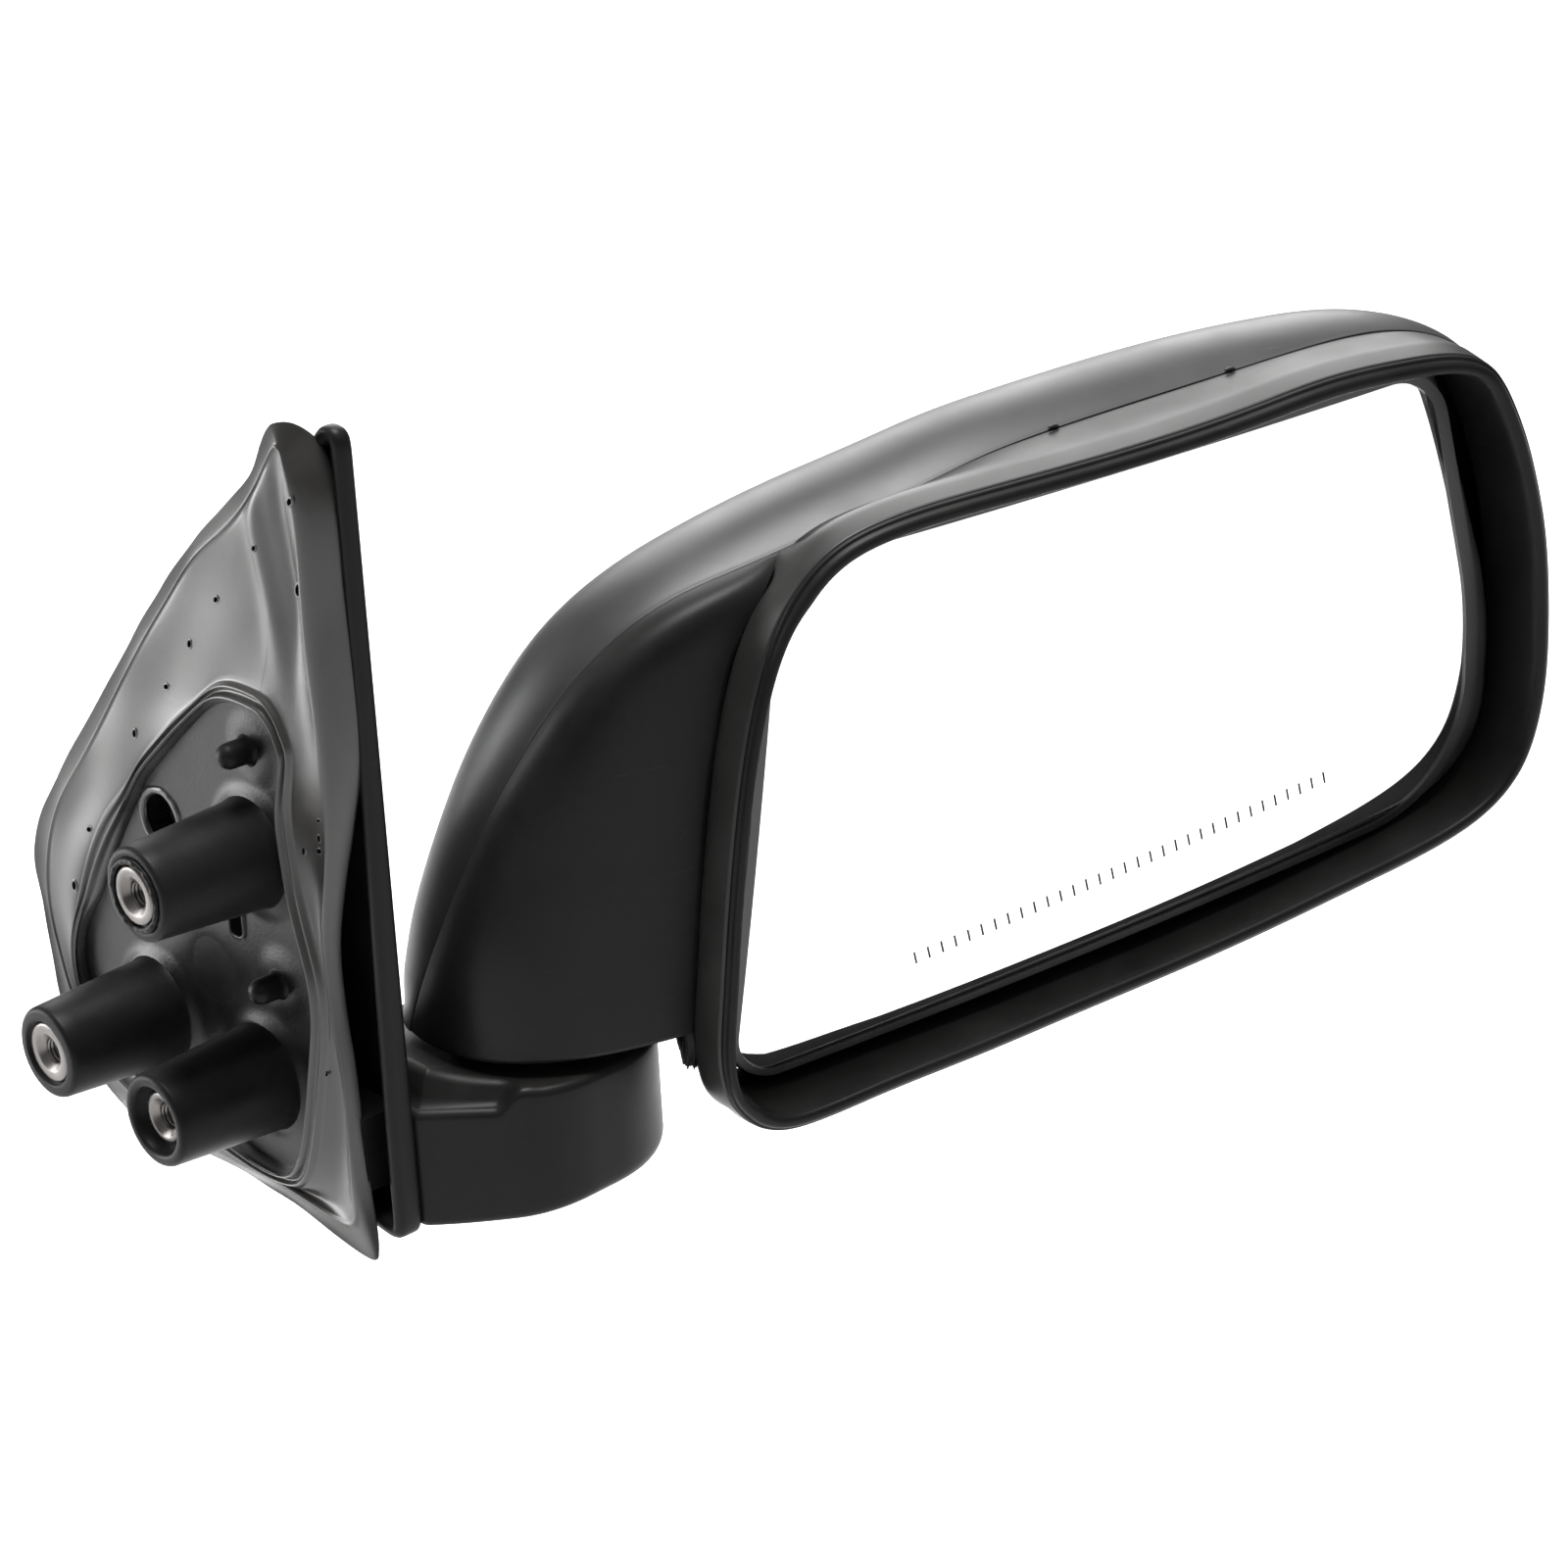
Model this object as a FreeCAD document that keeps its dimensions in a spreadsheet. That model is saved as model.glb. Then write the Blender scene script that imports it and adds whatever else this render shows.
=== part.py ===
import FreeCAD, Part
import math
import os

# Right-hand door mirror of a car, folded by hand and aimed by hand.
# Frame: +X outboard, +Y towards the front of the car, +Z up, in millimetres.
# The origin is the mouth of the upper fixing thread, on the plane where the three
# bosses meet the door.  The head is drawn in its own frame (across, depth, height),
# which is the row frame turned about Z by the yaw of the head; its glass looks
# towards minus depth.

SIZES = {
    # door side
    "boss_tip_radius": 11, "boss_root_radius": 13,
    "thread_bore_radius": 2.5, "thread_length": 14,
    "insert_radius": 6, "insert_length": 18,
    "boss_front_y": 44, "boss_front_z": -52, "boss_rear_y": 3, "boss_rear_z": -56,
    "pin_radius": 3, "pin_length": 9, "pin_upper_y": -2, "pin_upper_z": 25,
    "pin_lower_y": -5, "pin_lower_z": -31,
    "cable_hole_radius": 6, "cable_hole_y": 36, "cable_hole_z": -2,
    "casting_face": 33, "casting_thickness": 6,
    "gasket_face": 29, "gasket_thickness": 3.5,
    "cover_back": 32.8, "cover_front": 43, "cover_skin": 2.4, "cover_wall": 2.6,
    "clip_width": 8, "clip_height": 5,
    # foot and pivot
    "pivot_x": 82, "pivot_y": -29, "foot_radius": 28.5,
    "foot_bottom": -84, "foot_top": -53, "foot_wall": 2.4, "foot_root_rear": -36,
    "foot_root_front": 22, "arm_bottom": -76, "arm_top": -58, "arm_clearance": 0.6,
    "tongue_rear": -29, "tongue_width": 35, "cap_screw_radius": 3.4,
    "shaft_radius": 6, "shaft_bottom": -80.5, "shaft_top": -8, "running_gap": 0.05,
    "detent_radius": 16, "detent_plane": -52, "detent_bottom": -58, "hub_bottom": -46.5,
    "hub_seat": -44.5, "hub_floor": -41, "hub_radius": 19,
    "tube_radius": 16, "tube_wall": 2, "tube_top": -24,
    "spring_radius": 10.5, "spring_wire": 1.25, "spring_top": -19, "spring_turns": 5,
    "nut_radius": 8, "nut_thickness": 7, "ball_radius": 2.2, "ball_circle": 11.5,
    # head
    "head_yaw": 18, "wall": 2.5, "rim_depth": -44, "seam_depth": -22,
    "neck_bottom": -49, "seam_knee": 50,
    "seam_foot_depth": 2, "collar_end": -28, "ring_back": -14,
    "plate_back": 2, "plate_thickness": 4, "post_radius": 5, "screw_radius": 2,
    # glass
    "aim_across": 230, "aim_depth": -12, "aim_height": 6.5,
    "ball_stud_radius": 9, "stem_radius": 4.5, "cup_radius": 12.5,
    "cup_gap": 0.08, "holder_back": -22, "glass_crest": -33, "glass_curve": 1400,
    "glass_thickness": 2, "pad_thickness": 1, "gimbal_inner": 15.5, "gimbal_outer": 18.5,
    "gimbal_height": 4, "trunnion_radius": 1.6, "trunnion_reach": 23, "lug_inner": 19.3,
    "lug_width": 8, "lug_thickness": 4, "lug_overlap": 3.5, "tray_thickness": 6, "tray_lip": 0.6,
    "tray_hub_radius": 24,
}

# Outlines are lists of corners (across, up, rounding radius), joined by straight runs.
RIM = [(115.3, -76.6, 18), (339, -40, 46), (339.5, 15, 110), (327, 83, 24), (135.5, 64.5, 40)]
HEAD = [(59, -49, 3), (119, -49, 3), (119, -78, 14), (338, -42, 50), (343, 20, 120),
        (335, 86, 26), (178, 78.5, 160), (108, 54, 60), (82, 18, 100), (60, -30, 22)]
PLATE = [(76, -40, 4), (150, -42, 8), (262, -28, 12), (298, 0, 12), (298, 56, 10),
         (140, 48, 14), (96, 4, 20)]
COVER = [(-36, -86, 3), (70, -70, 22), (86, -30, 22), (30, 26, 160), (-22, 103, 4), (-36, 103, 3)]
GASKET = [(-34, -91, 4), (74, -72, 24), (91, -27, 24), (28, 30, 160), (-21, 106, 3), (-34, 100, 3)]
CASTING = [(-13, -75, 8), (52, -66, 13), (70, -47, 11), (50, -6, 60), (5, 37, 10), (-16, 32, 8)]

# How far each edge of the rim outline steps in, edge by edge: bottom, two right, top, left.
LIP = (3.8, 4.4, 4.4, 4.4, 5)
COLLAR = (4, 9.6, 9.6, 5.4, 6)
HOLDER = (6.8, 11.8, 11.8, 7.8, 8.2)
GLASS = (8.4, 15.2, 15.2, 9.8, 10.4)

# Sections of the head: depth, step in of the neck side, step in of the other edges.
HEAD_SECTIONS = [(-31, 24, 3.2), (-22, 8, 2.2), (-10, 1.1, 0.6), (4, 0.7, 0.2), (16, 6.7, 2),
                 (24, 17, 6), (31, 25, 12), (36, 34, 20)]
FASTENER_POSTS = [(160, -22), (160, 36), (282, -14), (282, 44)]
CLIPS = [(-8, 10), (20, -30), (34, -58)]
CAP_SCREWS = [(56, -22), (56, 4)]
TAU = 2 * math.pi
BEYOND = 200  # further than any face of the head

doc = FreeCAD.newDocument("door_mirror")
sheet = doc.addObject("Spreadsheet::Sheet", "Sizes")
for row, (alias, number) in enumerate(SIZES.items(), start=1):
    sheet.set("A%d" % row, alias)
    sheet.set("B%d" % row, str(number))
    sheet.setAlias("B%d" % row, alias)
doc.recompute()

pieces = []


def size(alias):
    """Reads one driving size."""
    return float(sheet.get(alias))


def bind(obj, **expressions):
    """Binds properties to the sheet; two underscores stand for a dot in the property."""
    for key, text in expressions.items():
        for alias in sorted(SIZES, key=len, reverse=True):
            text = text.replace("<%s>" % alias, "Sizes.%s" % alias)
        obj.setExpression(key.replace("__", "."), text)
    return obj


def keep(obj, label, placement=None):
    """Names a finished sub-part and puts it in its place."""
    obj.Label = label
    if placement is not None:
        obj.Placement = placement
    pieces.append(obj)
    return obj


def head_place():
    """Placement of the head frame in the row frame."""
    return FreeCAD.Placement(FreeCAD.Vector(), FreeCAD.Rotation(FreeCAD.Vector(0, 0, 1), -size("head_yaw")))


def to_head(x, y):
    """Head-frame across and depth of a point of the row frame."""
    yaw = math.radians(size("head_yaw"))
    return x * math.cos(yaw) - y * math.sin(yaw), x * math.sin(yaw) + y * math.cos(yaw)


def cylinder(name, radius, height, base, turn=None):
    """A cylinder whose radius and height are expressions and whose base is a point."""
    obj = bind(doc.addObject("Part::Cylinder", name), Radius=radius, Height=height)
    obj.Placement = FreeCAD.Placement(FreeCAD.Vector(*base), turn or FreeCAD.Rotation())
    return obj


ALONG_X = FreeCAD.Rotation(FreeCAD.Vector(0, 1, 0), 90)
ALONG_DEPTH = FreeCAD.Rotation(FreeCAD.Vector(1, 0, 0), -90)


def cut(name, base, tool):
    """The base without the tool."""
    obj = doc.addObject("Part::Cut", name)
    obj.Base = base
    obj.Tool = tool
    return obj


def fuse(name, *shapes):
    """All shapes joined."""
    obj = doc.addObject("Part::MultiFuse", name)
    obj.Shapes = list(shapes)
    obj.Refine = True
    return obj


def common(name, *shapes):
    """What the shapes share."""
    obj = doc.addObject("Part::MultiCommon", name)
    obj.Shapes = list(shapes)
    return obj


def step_in(corners, steps):
    """Moves each edge of a counter-clockwise outline inwards by its own step."""
    count = len(corners)
    lines = []
    for i in range(count):
        x0, y0, _ = corners[i]
        x1, y1, _ = corners[(i + 1) % count]
        length = math.hypot(x1 - x0, y1 - y0)
        along = ((x1 - x0) / length, (y1 - y0) / length)
        lines.append(((x0 - along[1] * steps[i], y0 + along[0] * steps[i]), along))
    moved = []
    for i in range(count):
        (px, py), (ax, ay) = lines[i - 1]
        (qx, qy), (bx, by) = lines[i]
        reach = ((qx - px) * by - (qy - py) * bx) / (ax * by - ay * bx)
        radius = corners[i][2] - 0.5 * (steps[i - 1] + steps[i])
        moved.append((px + ax * reach, py + ay * reach, max(radius, 1.5)))
    return moved


def rounded(corners):
    """Edges of an outline: straight runs joined by tangent arcs at the corners."""
    count = len(corners)
    bends = []
    for i in range(count):
        corner = FreeCAD.Vector(corners[i][0], corners[i][1], 0)
        before = FreeCAD.Vector(corners[i - 1][0], corners[i - 1][1], 0) - corner
        after = FreeCAD.Vector(corners[(i + 1) % count][0], corners[(i + 1) % count][1], 0) - corner
        before.normalize()
        after.normalize()
        half = 0.5 * before.getAngle(after)
        setback = corners[i][2] / math.tan(half)
        inward = (before + after).normalize()
        middle = corner + inward * (corners[i][2] / math.sin(half) - corners[i][2])
        bends.append((corner + before * setback, middle, corner + after * setback))
    edges = []
    for i in range(count):
        start, middle, end = bends[i]
        run = bends[(i + 1) % count][0] - end
        edge = FreeCAD.Vector(corners[(i + 1) % count][0] - corners[i][0],
                              corners[(i + 1) % count][1] - corners[i][1], 0)
        if run.dot(edge) <= 0:
            raise ValueError("the roundings of an outline overlap after corner %d" % i)
        edges.append(Part.Arc(start, middle, end))
        edges.append(Part.LineSegment(end, bends[(i + 1) % count][0]))
    return edges


def origin_plane(body, role):
    """The body's own datum plane with the given role."""
    return [item for item in body.Origin.OriginFeatures if item.Role == role][0]


def outline_sketch(body, role, corners, offset, name):
    """A sketch of a rounded outline on the body's plane, moved along its normal."""
    sketch = body.newObject("Sketcher::SketchObject", name)
    sketch.AttachmentSupport = (origin_plane(body, role), [""])
    sketch.MapMode = "FlatFace"
    sketch.addGeometry(rounded(corners), False)
    bind(sketch, AttachmentOffset__Base__z=offset)
    return sketch


def plain_body(name):
    """An empty design body."""
    return doc.addObject("PartDesign::Body", name)


def pad(body, sketch, length, name, backwards=False):
    """Pads a sketch by a bound length."""
    feature = body.newObject("PartDesign::Pad", name)
    feature.Profile = sketch
    feature.Reversed = backwards
    bind(feature, Length=length)
    return feature


def loft(body, sketches, name):
    """A solid through sketches, joined by straight rulings."""
    feature = body.newObject("PartDesign::AdditiveLoft", name)
    feature.Profile = sketches[0]
    feature.Sections = sketches[1:]
    feature.Ruled = True
    return feature


def prism(name, corners, start, length, role="XZ_Plane", backwards=True):
    """A padded outline; on the depth plane it runs from start towards plus depth."""
    body = plain_body(name)
    sketch = outline_sketch(body, role, corners, start, name + "_outline")
    pad(body, sketch, length, name + "_pad", backwards)
    return body


# ---------------------------------------------------------------- door side

def bosses():
    """Centres of the three fixing bosses: upper, lower front, lower rear."""
    return {"upper": (0, 0), "front": (size("boss_front_y"), size("boss_front_z")),
            "rear": (size("boss_rear_y"), size("boss_rear_z"))}


def foot_outline(inset):
    """Plan of the foot: two straight flanks tangent to the round end about the pivot."""
    centre = FreeCAD.Vector(size("pivot_x"), size("pivot_y"), 0)
    radius = size("foot_radius") - inset
    root = size("cover_front")
    flank = []
    for y, side in ((size("foot_root_rear") + inset, -1), (size("foot_root_front") - inset, 1)):
        start = FreeCAD.Vector(root, y, 0)
        line = start - centre
        angle = math.atan2(line.y, line.x) - side * math.acos(radius / line.Length)
        flank.append((start, centre + FreeCAD.Vector(math.cos(angle), math.sin(angle), 0) * radius))
    (rear_root, rear), (front_root, front) = flank
    tip = centre + (centre - FreeCAD.Vector(root, size("foot_root_rear"), 0)).normalize() * radius
    return [Part.LineSegment(rear_root, rear), Part.Arc(rear, tip, front),
            Part.LineSegment(front, front_root), Part.LineSegment(front_root, rear_root)]


def foot_block(name, inset, bottom, height):
    """The foot's plan, stepped in, padded upwards."""
    body = plain_body(name)
    sketch = body.newObject("Sketcher::SketchObject", name + "_plan")
    sketch.AttachmentSupport = (origin_plane(body, "XY_Plane"), [""])
    sketch.MapMode = "FlatFace"
    sketch.addGeometry(foot_outline(inset), False)
    bind(sketch, AttachmentOffset__Base__z=bottom)
    pad(body, sketch, height, name + "_pad")
    return body


def base_casting():
    """Die-cast plate behind the sail with the arm that carries the pivot."""
    face = size("casting_face")
    plate = prism("casting_plate", CASTING, "<casting_face>", "<casting_thickness>", "YZ_Plane", False)
    gap = size("foot_wall") + size("arm_clearance")
    arm = foot_block("casting_arm", gap, "<arm_bottom>", "<arm_top> - <arm_bottom>")
    tongue = doc.addObject("Part::Box", "casting_tongue")
    bind(tongue, Length="<cover_front> - <casting_face> + 2", Width="<tongue_width>",
         Height="<arm_top> - <arm_bottom>")
    tongue.Placement.Base = FreeCAD.Vector(face + 1, size("tongue_rear"), size("arm_bottom"))
    solid = fuse("casting_solid", plate, arm, tongue)
    holes = [cylinder("casting_bore", "<shaft_radius>", "<arm_top> - <arm_bottom> + 2",
                      (size("pivot_x"), size("pivot_y"), size("arm_bottom") - 1)),
             cylinder("casting_cable", "<cable_hole_radius>", "<casting_thickness> + 2",
                      (face - 1, size("cable_hole_y"), size("cable_hole_z")), ALONG_X)]
    for name in ("upper", "lower"):
        holes.append(cylinder("pin_seat_" + name, "<pin_radius> - 1", "<casting_thickness>",
                              (face, size("pin_%s_y" % name), size("pin_%s_z" % name)), ALONG_X))
    keep(cut("base_casting", solid, fuse("casting_holes", *holes)), "base_casting")


def fixing_boss(name, y, z):
    """Tapered round boss that stands on the plate and meets the door, with a seat for an insert."""
    cone = bind(doc.addObject("Part::Cone", "boss_cone_" + name), Radius1="<boss_tip_radius>",
                Radius2="<boss_root_radius>", Height="<casting_face>")
    cone.Placement.Rotation = ALONG_X
    seat = cylinder("boss_seat_" + name, "<insert_radius>", "<insert_length>", (0, 0, 0), ALONG_X)
    keep(cut("boss_" + name, cone, seat), "boss_" + name,
         FreeCAD.Placement(FreeCAD.Vector(0, y, z), FreeCAD.Rotation()))


def thread_insert(name, y, z):
    """Steel insert with the blind fixing thread, pressed into a boss."""
    outer = cylinder("insert_body_" + name, "<insert_radius>", "<insert_length>", (0, 0, 0), ALONG_X)
    bore = cylinder("insert_bore_" + name, "<thread_bore_radius>", "<thread_length>", (0, 0, 0), ALONG_X)
    keep(cut("insert_" + name, outer, bore), "insert_" + name,
         FreeCAD.Placement(FreeCAD.Vector(0, y, z), FreeCAD.Rotation()))


def locating_pins():
    """Two round-nosed pins that place the mirror on the door."""
    shapes = []
    for name in ("upper", "lower"):
        at = (0, size("pin_%s_y" % name), size("pin_%s_z" % name))
        nose = size("casting_face") - size("pin_length")
        shank = cylinder("pin_shank_" + name, "<pin_radius>", "<pin_length>", (nose, at[1], at[2]),
                         ALONG_X)
        spigot = cylinder("pin_spigot_" + name, "<pin_radius> - 1", "<pin_length> + <casting_thickness>",
                          (nose, at[1], at[2]), ALONG_X)
        tip = bind(doc.addObject("Part::Sphere", "pin_nose_" + name), Radius="<pin_radius>")
        tip.Placement.Base = FreeCAD.Vector(nose, at[1], at[2])
        shapes += [shank, spigot, tip]
    keep(fuse("locating_pins", *shapes), "locating_pins")


def sail_cover():
    """Triangular dish that hides the casting, open towards the door."""
    block = prism("cover_block", COVER, "<cover_back>", "<cover_front> - <cover_back>", "YZ_Plane", False)
    inner = step_in(COVER, [size("cover_wall")] * len(COVER))
    hollow = prism("cover_hollow", inner, "<cover_back> - 1",
                   "<cover_front> - <cover_back> - <cover_skin> + 1", "YZ_Plane", False)
    window = doc.addObject("Part::Box", "cover_window")
    bind(window, Length="<cover_skin> + 2", Width="<tongue_width> + 1",
         Height="<arm_top> - <arm_bottom> + 1")
    window.Placement.Base = FreeCAD.Vector(size("cover_front") - size("cover_skin") - 1,
                                           size("tongue_rear") - 0.5, size("arm_bottom") - 0.5)
    keep(cut("sail_cover", cut("cover_dish", block, hollow), window), "sail_cover")


def door_gasket():
    """Rubber sheet between the mirror and the door, open round the bosses."""
    sheet_block = prism("gasket_block", GASKET, "<gasket_face>", "<gasket_thickness>", "YZ_Plane", False)
    opening = step_in(CASTING, [0.5] * len(CASTING))
    window = prism("gasket_window", opening, "<gasket_face> - 1", "<gasket_thickness> + 2",
                   "YZ_Plane", False)
    keep(cut("door_gasket", sheet_block, window), "door_gasket")


def foot_cover():
    """Shroud over the arm, open below, with a round mouth for the pivot."""
    outer = foot_block("foot_outer", 0, "<foot_bottom>", "<foot_top> - <foot_bottom>")
    inner = foot_block("foot_inner", size("foot_wall"), "<foot_bottom> - 1",
                       "<foot_top> - <foot_bottom> - <foot_wall> + 1")
    root = doc.addObject("Part::Box", "foot_root")
    bind(root, Length="3", Height="<foot_top> - <foot_bottom> - <foot_wall> + 1")
    root.Width = size("foot_root_front") - size("foot_root_rear") - 2 * size("foot_wall")
    root.Placement.Base = FreeCAD.Vector(size("cover_front") - 1,
                                         size("foot_root_rear") + size("foot_wall"),
                                         size("foot_bottom") - 1)
    mouth = cylinder("foot_mouth", "<detent_radius> + 0.6", "10",
                     (size("pivot_x"), size("pivot_y"), size("foot_top") - 8))
    keep(cut("foot_cover", outer, fuse("foot_cavity", inner, root, mouth)), "foot_cover")


def foot_cap():
    """Plate that closes the foot from below."""
    plate = foot_block("cap_plate", size("foot_wall"), "<foot_bottom>", "<foot_wall>")
    keep(plate, "foot_cap")


def foot_screws():
    """Two screws that hold the foot cap to the arm."""
    shapes = []
    for index, (x, y) in enumerate(CAP_SCREWS):
        head = cylinder("foot_screw_head_%d" % index, "<cap_screw_radius>",
                        "<arm_bottom> - <foot_bottom> - <foot_wall>",
                        (x, y, size("foot_bottom") + size("foot_wall")))
        shapes.append(head)
    keep(fuse("foot_screws", *shapes), "foot_screws")


def cover_clips():
    """Three clips between the casting's edge and the sail cover."""
    shapes = []
    for index, (y, z) in enumerate(CLIPS):
        clip = doc.addObject("Part::Box", "clip_%d" % index)
        bind(clip, Length="<cover_front> - <cover_skin> - <casting_face> - <casting_thickness>",
             Width="<clip_width>", Height="<clip_height>")
        clip.Placement.Base = FreeCAD.Vector(size("casting_face") + size("casting_thickness"), y, z)
        shapes.append(clip)
    compound = doc.addObject("Part::Compound", "cover_clips")
    compound.Links = shapes
    keep(compound, "cover_clips")


# ---------------------------------------------------------------- pivot

def on_pivot(height=0):
    """A placement on the pivot's axis."""
    return FreeCAD.Placement(FreeCAD.Vector(size("pivot_x"), size("pivot_y"), height),
                             FreeCAD.Rotation())


def ring(name, outer, inner, height, bottom):
    """A flat ring on the pivot's axis."""
    body = cylinder(name + "_outer", outer, height, (0, 0, 0))
    bore = cylinder(name + "_inner", inner, height + " + 2", (0, 0, -1))
    return keep(cut(name, body, bore), name, on_pivot(bottom))


def pivot_shaft():
    """Headed steel shaft, fixed in the arm."""
    stem = cylinder("shaft_stem", "<shaft_radius>", "<shaft_top> - <shaft_bottom>",
                    (0, 0, size("shaft_bottom")))
    head = cylinder("shaft_head", "<shaft_radius> + 3.5", "<arm_bottom> - <shaft_bottom>",
                    (0, 0, size("shaft_bottom")))
    keep(fuse("pivot_shaft", stem, head), "pivot_shaft", on_pivot())


def detents():
    """Detent rings either side of the parting plane, and the balls in the upper ring."""
    lower = cylinder("detent_low_body", "<detent_radius>", "<detent_plane> - <detent_bottom>",
                     (0, 0, size("detent_bottom")))
    bore = cylinder("detent_low_bore", "<shaft_radius>", "20", (0, 0, size("detent_bottom") - 1))
    upper = cylinder("detent_up_body", "<detent_radius>", "<hub_bottom> - <detent_plane> - 0.02",
                     (0, 0, size("detent_plane") + 0.02))
    upper_bore = cylinder("detent_up_bore", "<shaft_radius> + <running_gap>", "20",
                          (0, 0, size("detent_plane") - 1))
    dimples, seats, balls = [], [], []
    for index in range(3):
        angle = index * TAU / 3
        x = size("ball_circle") * math.cos(angle)
        y = size("ball_circle") * math.sin(angle)
        height = size("detent_plane") + size("ball_radius") + 0.05
        for group, kind, extra in ((dimples, "dimple", 0), (seats, "seat", 0.05), (balls, "ball", 0)):
            item = doc.addObject("Part::Sphere", "detent_%s_%d" % (kind, index))
            bind(item, Radius="<ball_radius> + %g" % extra)
            drop = 1.0 if kind == "dimple" else 0
            item.Placement.Base = FreeCAD.Vector(x, y, height - drop)
            group.append(item)
    keep(cut("lower_detent", lower, fuse("low_tools", bore, *dimples)), "lower_detent", on_pivot())
    keep(cut("upper_detent", upper, fuse("up_tools", upper_bore, *seats)), "upper_detent", on_pivot())
    compound = doc.addObject("Part::Compound", "detent_balls")
    compound.Links = balls
    keep(compound, "detent_balls", on_pivot())


def fold_spring():
    """Coil spring that presses the head down on the detent."""
    wire = size("spring_wire")
    low = size("hub_floor") + wire + 0.05
    top = size("spring_top") - wire - 0.05
    rise = top - low
    turns = size("spring_turns")
    helix = Part.makeHelix(rise / turns, rise, size("spring_radius"))
    section = Part.Wire([Part.Circle(FreeCAD.Vector(size("spring_radius"), 0, 0),
                                     FreeCAD.Vector(0, 1, 0), wire).toShape()])
    coil = Part.Wire(helix).makePipeShell([section], True, True)
    spring = doc.addObject("Part::Feature", "fold_spring")
    spring.Shape = coil
    keep(spring, "fold_spring", on_pivot(low))


def shaft_nut():
    """Hexagon nut on the top of the shaft."""
    body = plain_body("shaft_nut")
    sketch = body.newObject("Sketcher::SketchObject", "nut_outline")
    sketch.AttachmentSupport = (origin_plane(body, "XY_Plane"), [""])
    sketch.MapMode = "FlatFace"
    points = [FreeCAD.Vector(size("nut_radius") * math.cos(i * TAU / 6),
                             size("nut_radius") * math.sin(i * TAU / 6), 0) for i in range(6)]
    sides = [Part.LineSegment(points[i], points[(i + 1) % 6]) for i in range(6)]
    hole = Part.Circle(FreeCAD.Vector(), FreeCAD.Vector(0, 0, 1), size("shaft_radius"))
    sketch.addGeometry(sides + [hole], False)
    pad(body, sketch, "<nut_thickness>", "nut_pad")
    keep(body, "shaft_nut", on_pivot(size("spring_top") + 2))


# ---------------------------------------------------------------- head

def head_steps(neck, other):
    """Step for each edge of the head outline at one depth."""
    floor = 0.25 * other
    return [floor, 0, other, other, other, other, neck, neck, neck, neck]


def form(name, wall):
    """The head's outer form, or the hollow inside it when a wall is given."""
    body = plain_body(name)
    sketches = []
    for index, (depth, neck, other) in enumerate(HEAD_SECTIONS):
        steps = [step + wall for step in head_steps(neck, other)]
        shift = wall if index == 0 else (-wall if index == len(HEAD_SECTIONS) - 1 else 0)
        sketches.append(outline_sketch(body, "XZ_Plane", step_in(HEAD, steps), "%g" % -(depth + shift),
                                       "%s_section_%d" % (name, index)))
    loft(body, sketches, name + "_loft")
    return body


def ring_form(name, wall):
    """The rim with its outer band, from the rim's face to behind the seam."""
    body = plain_body(name)
    face = outline_sketch(body, "XZ_Plane", step_in(RIM, [wall + 1.2] * 5),
                          "-<rim_depth> - %g" % wall, name + "_face")
    edge = outline_sketch(body, "XZ_Plane", step_in(RIM, [wall] * 5),
                          "-<rim_depth> - 2 - %g" % wall, name + "_edge")
    grow = [wall - 1.6, wall - 1.6, wall - 1.6, wall - 2, wall + 1]
    back = outline_sketch(body, "XZ_Plane", step_in(RIM, grow), "-<ring_back> - %g" % (wall / 3),
                          name + "_back")
    loft(body, [face, edge, back], name + "_loft")
    return body


def seam_block(name, front):
    """Everything in front of, or behind, the seam surface."""
    body = plain_body(name)
    knee = size("seam_knee")
    foot = size("neck_bottom")
    far = BEYOND if front else -BEYOND
    points = [(size("seam_depth"), BEYOND), (size("seam_depth"), knee), (size("seam_foot_depth"), foot),
              (size("seam_foot_depth"), -BEYOND), (far, -BEYOND), (far, BEYOND)]
    sketch = body.newObject("Sketcher::SketchObject", name + "_outline")
    sketch.AttachmentSupport = (origin_plane(body, "YZ_Plane"), [""])
    sketch.MapMode = "FlatFace"
    vectors = [FreeCAD.Vector(a, b, 0) for a, b in points]
    sketch.addGeometry([Part.LineSegment(vectors[i], vectors[(i + 1) % 6]) for i in range(6)], False)
    pad(body, sketch, "400", name + "_pad")
    return body


def pivot_hole(name, radius):
    """Round hole through the neck's floor, in the head frame."""
    across, depth = to_head(size("pivot_x"), size("pivot_y"))
    return cylinder(name, radius, "10", (across, depth, size("neck_bottom") - 3))


def head_skin():
    """The whole wall of the head, and its solid form."""
    outer = fuse("head_outer", form("head_form", 0), ring_form("rim_form", 0))
    lined = cut("head_lined", outer, form("core_form", size("wall")))
    return outer, cut("head_skin", lined, ring_form("rim_core", size("wall")))


def outer_shell(outer, skin):
    """Painted front shell with four fixing posts inside."""
    wall = common("shell_wall", skin, seam_block("front_half", True))
    posts, bores = [], []
    start = size("plate_back") + size("plate_thickness")
    for index, (across, up) in enumerate(FASTENER_POSTS):
        posts.append(cylinder("post_%d" % index, "<post_radius>", "40", (across, start, up), ALONG_DEPTH))
        bores.append(cylinder("post_bore_%d" % index, "<screw_radius>", "14", (across, start - 1, up),
                              ALONG_DEPTH))
    whole = fuse("shell_whole", wall, common("shell_posts", outer, fuse("post_group", *posts)))
    tools = fuse("shell_tools", pivot_hole("shell_hole", "<detent_radius> + 0.8"), *bores)
    keep(cut("outer_shell", whole, tools), "outer_shell", head_place())


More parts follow.
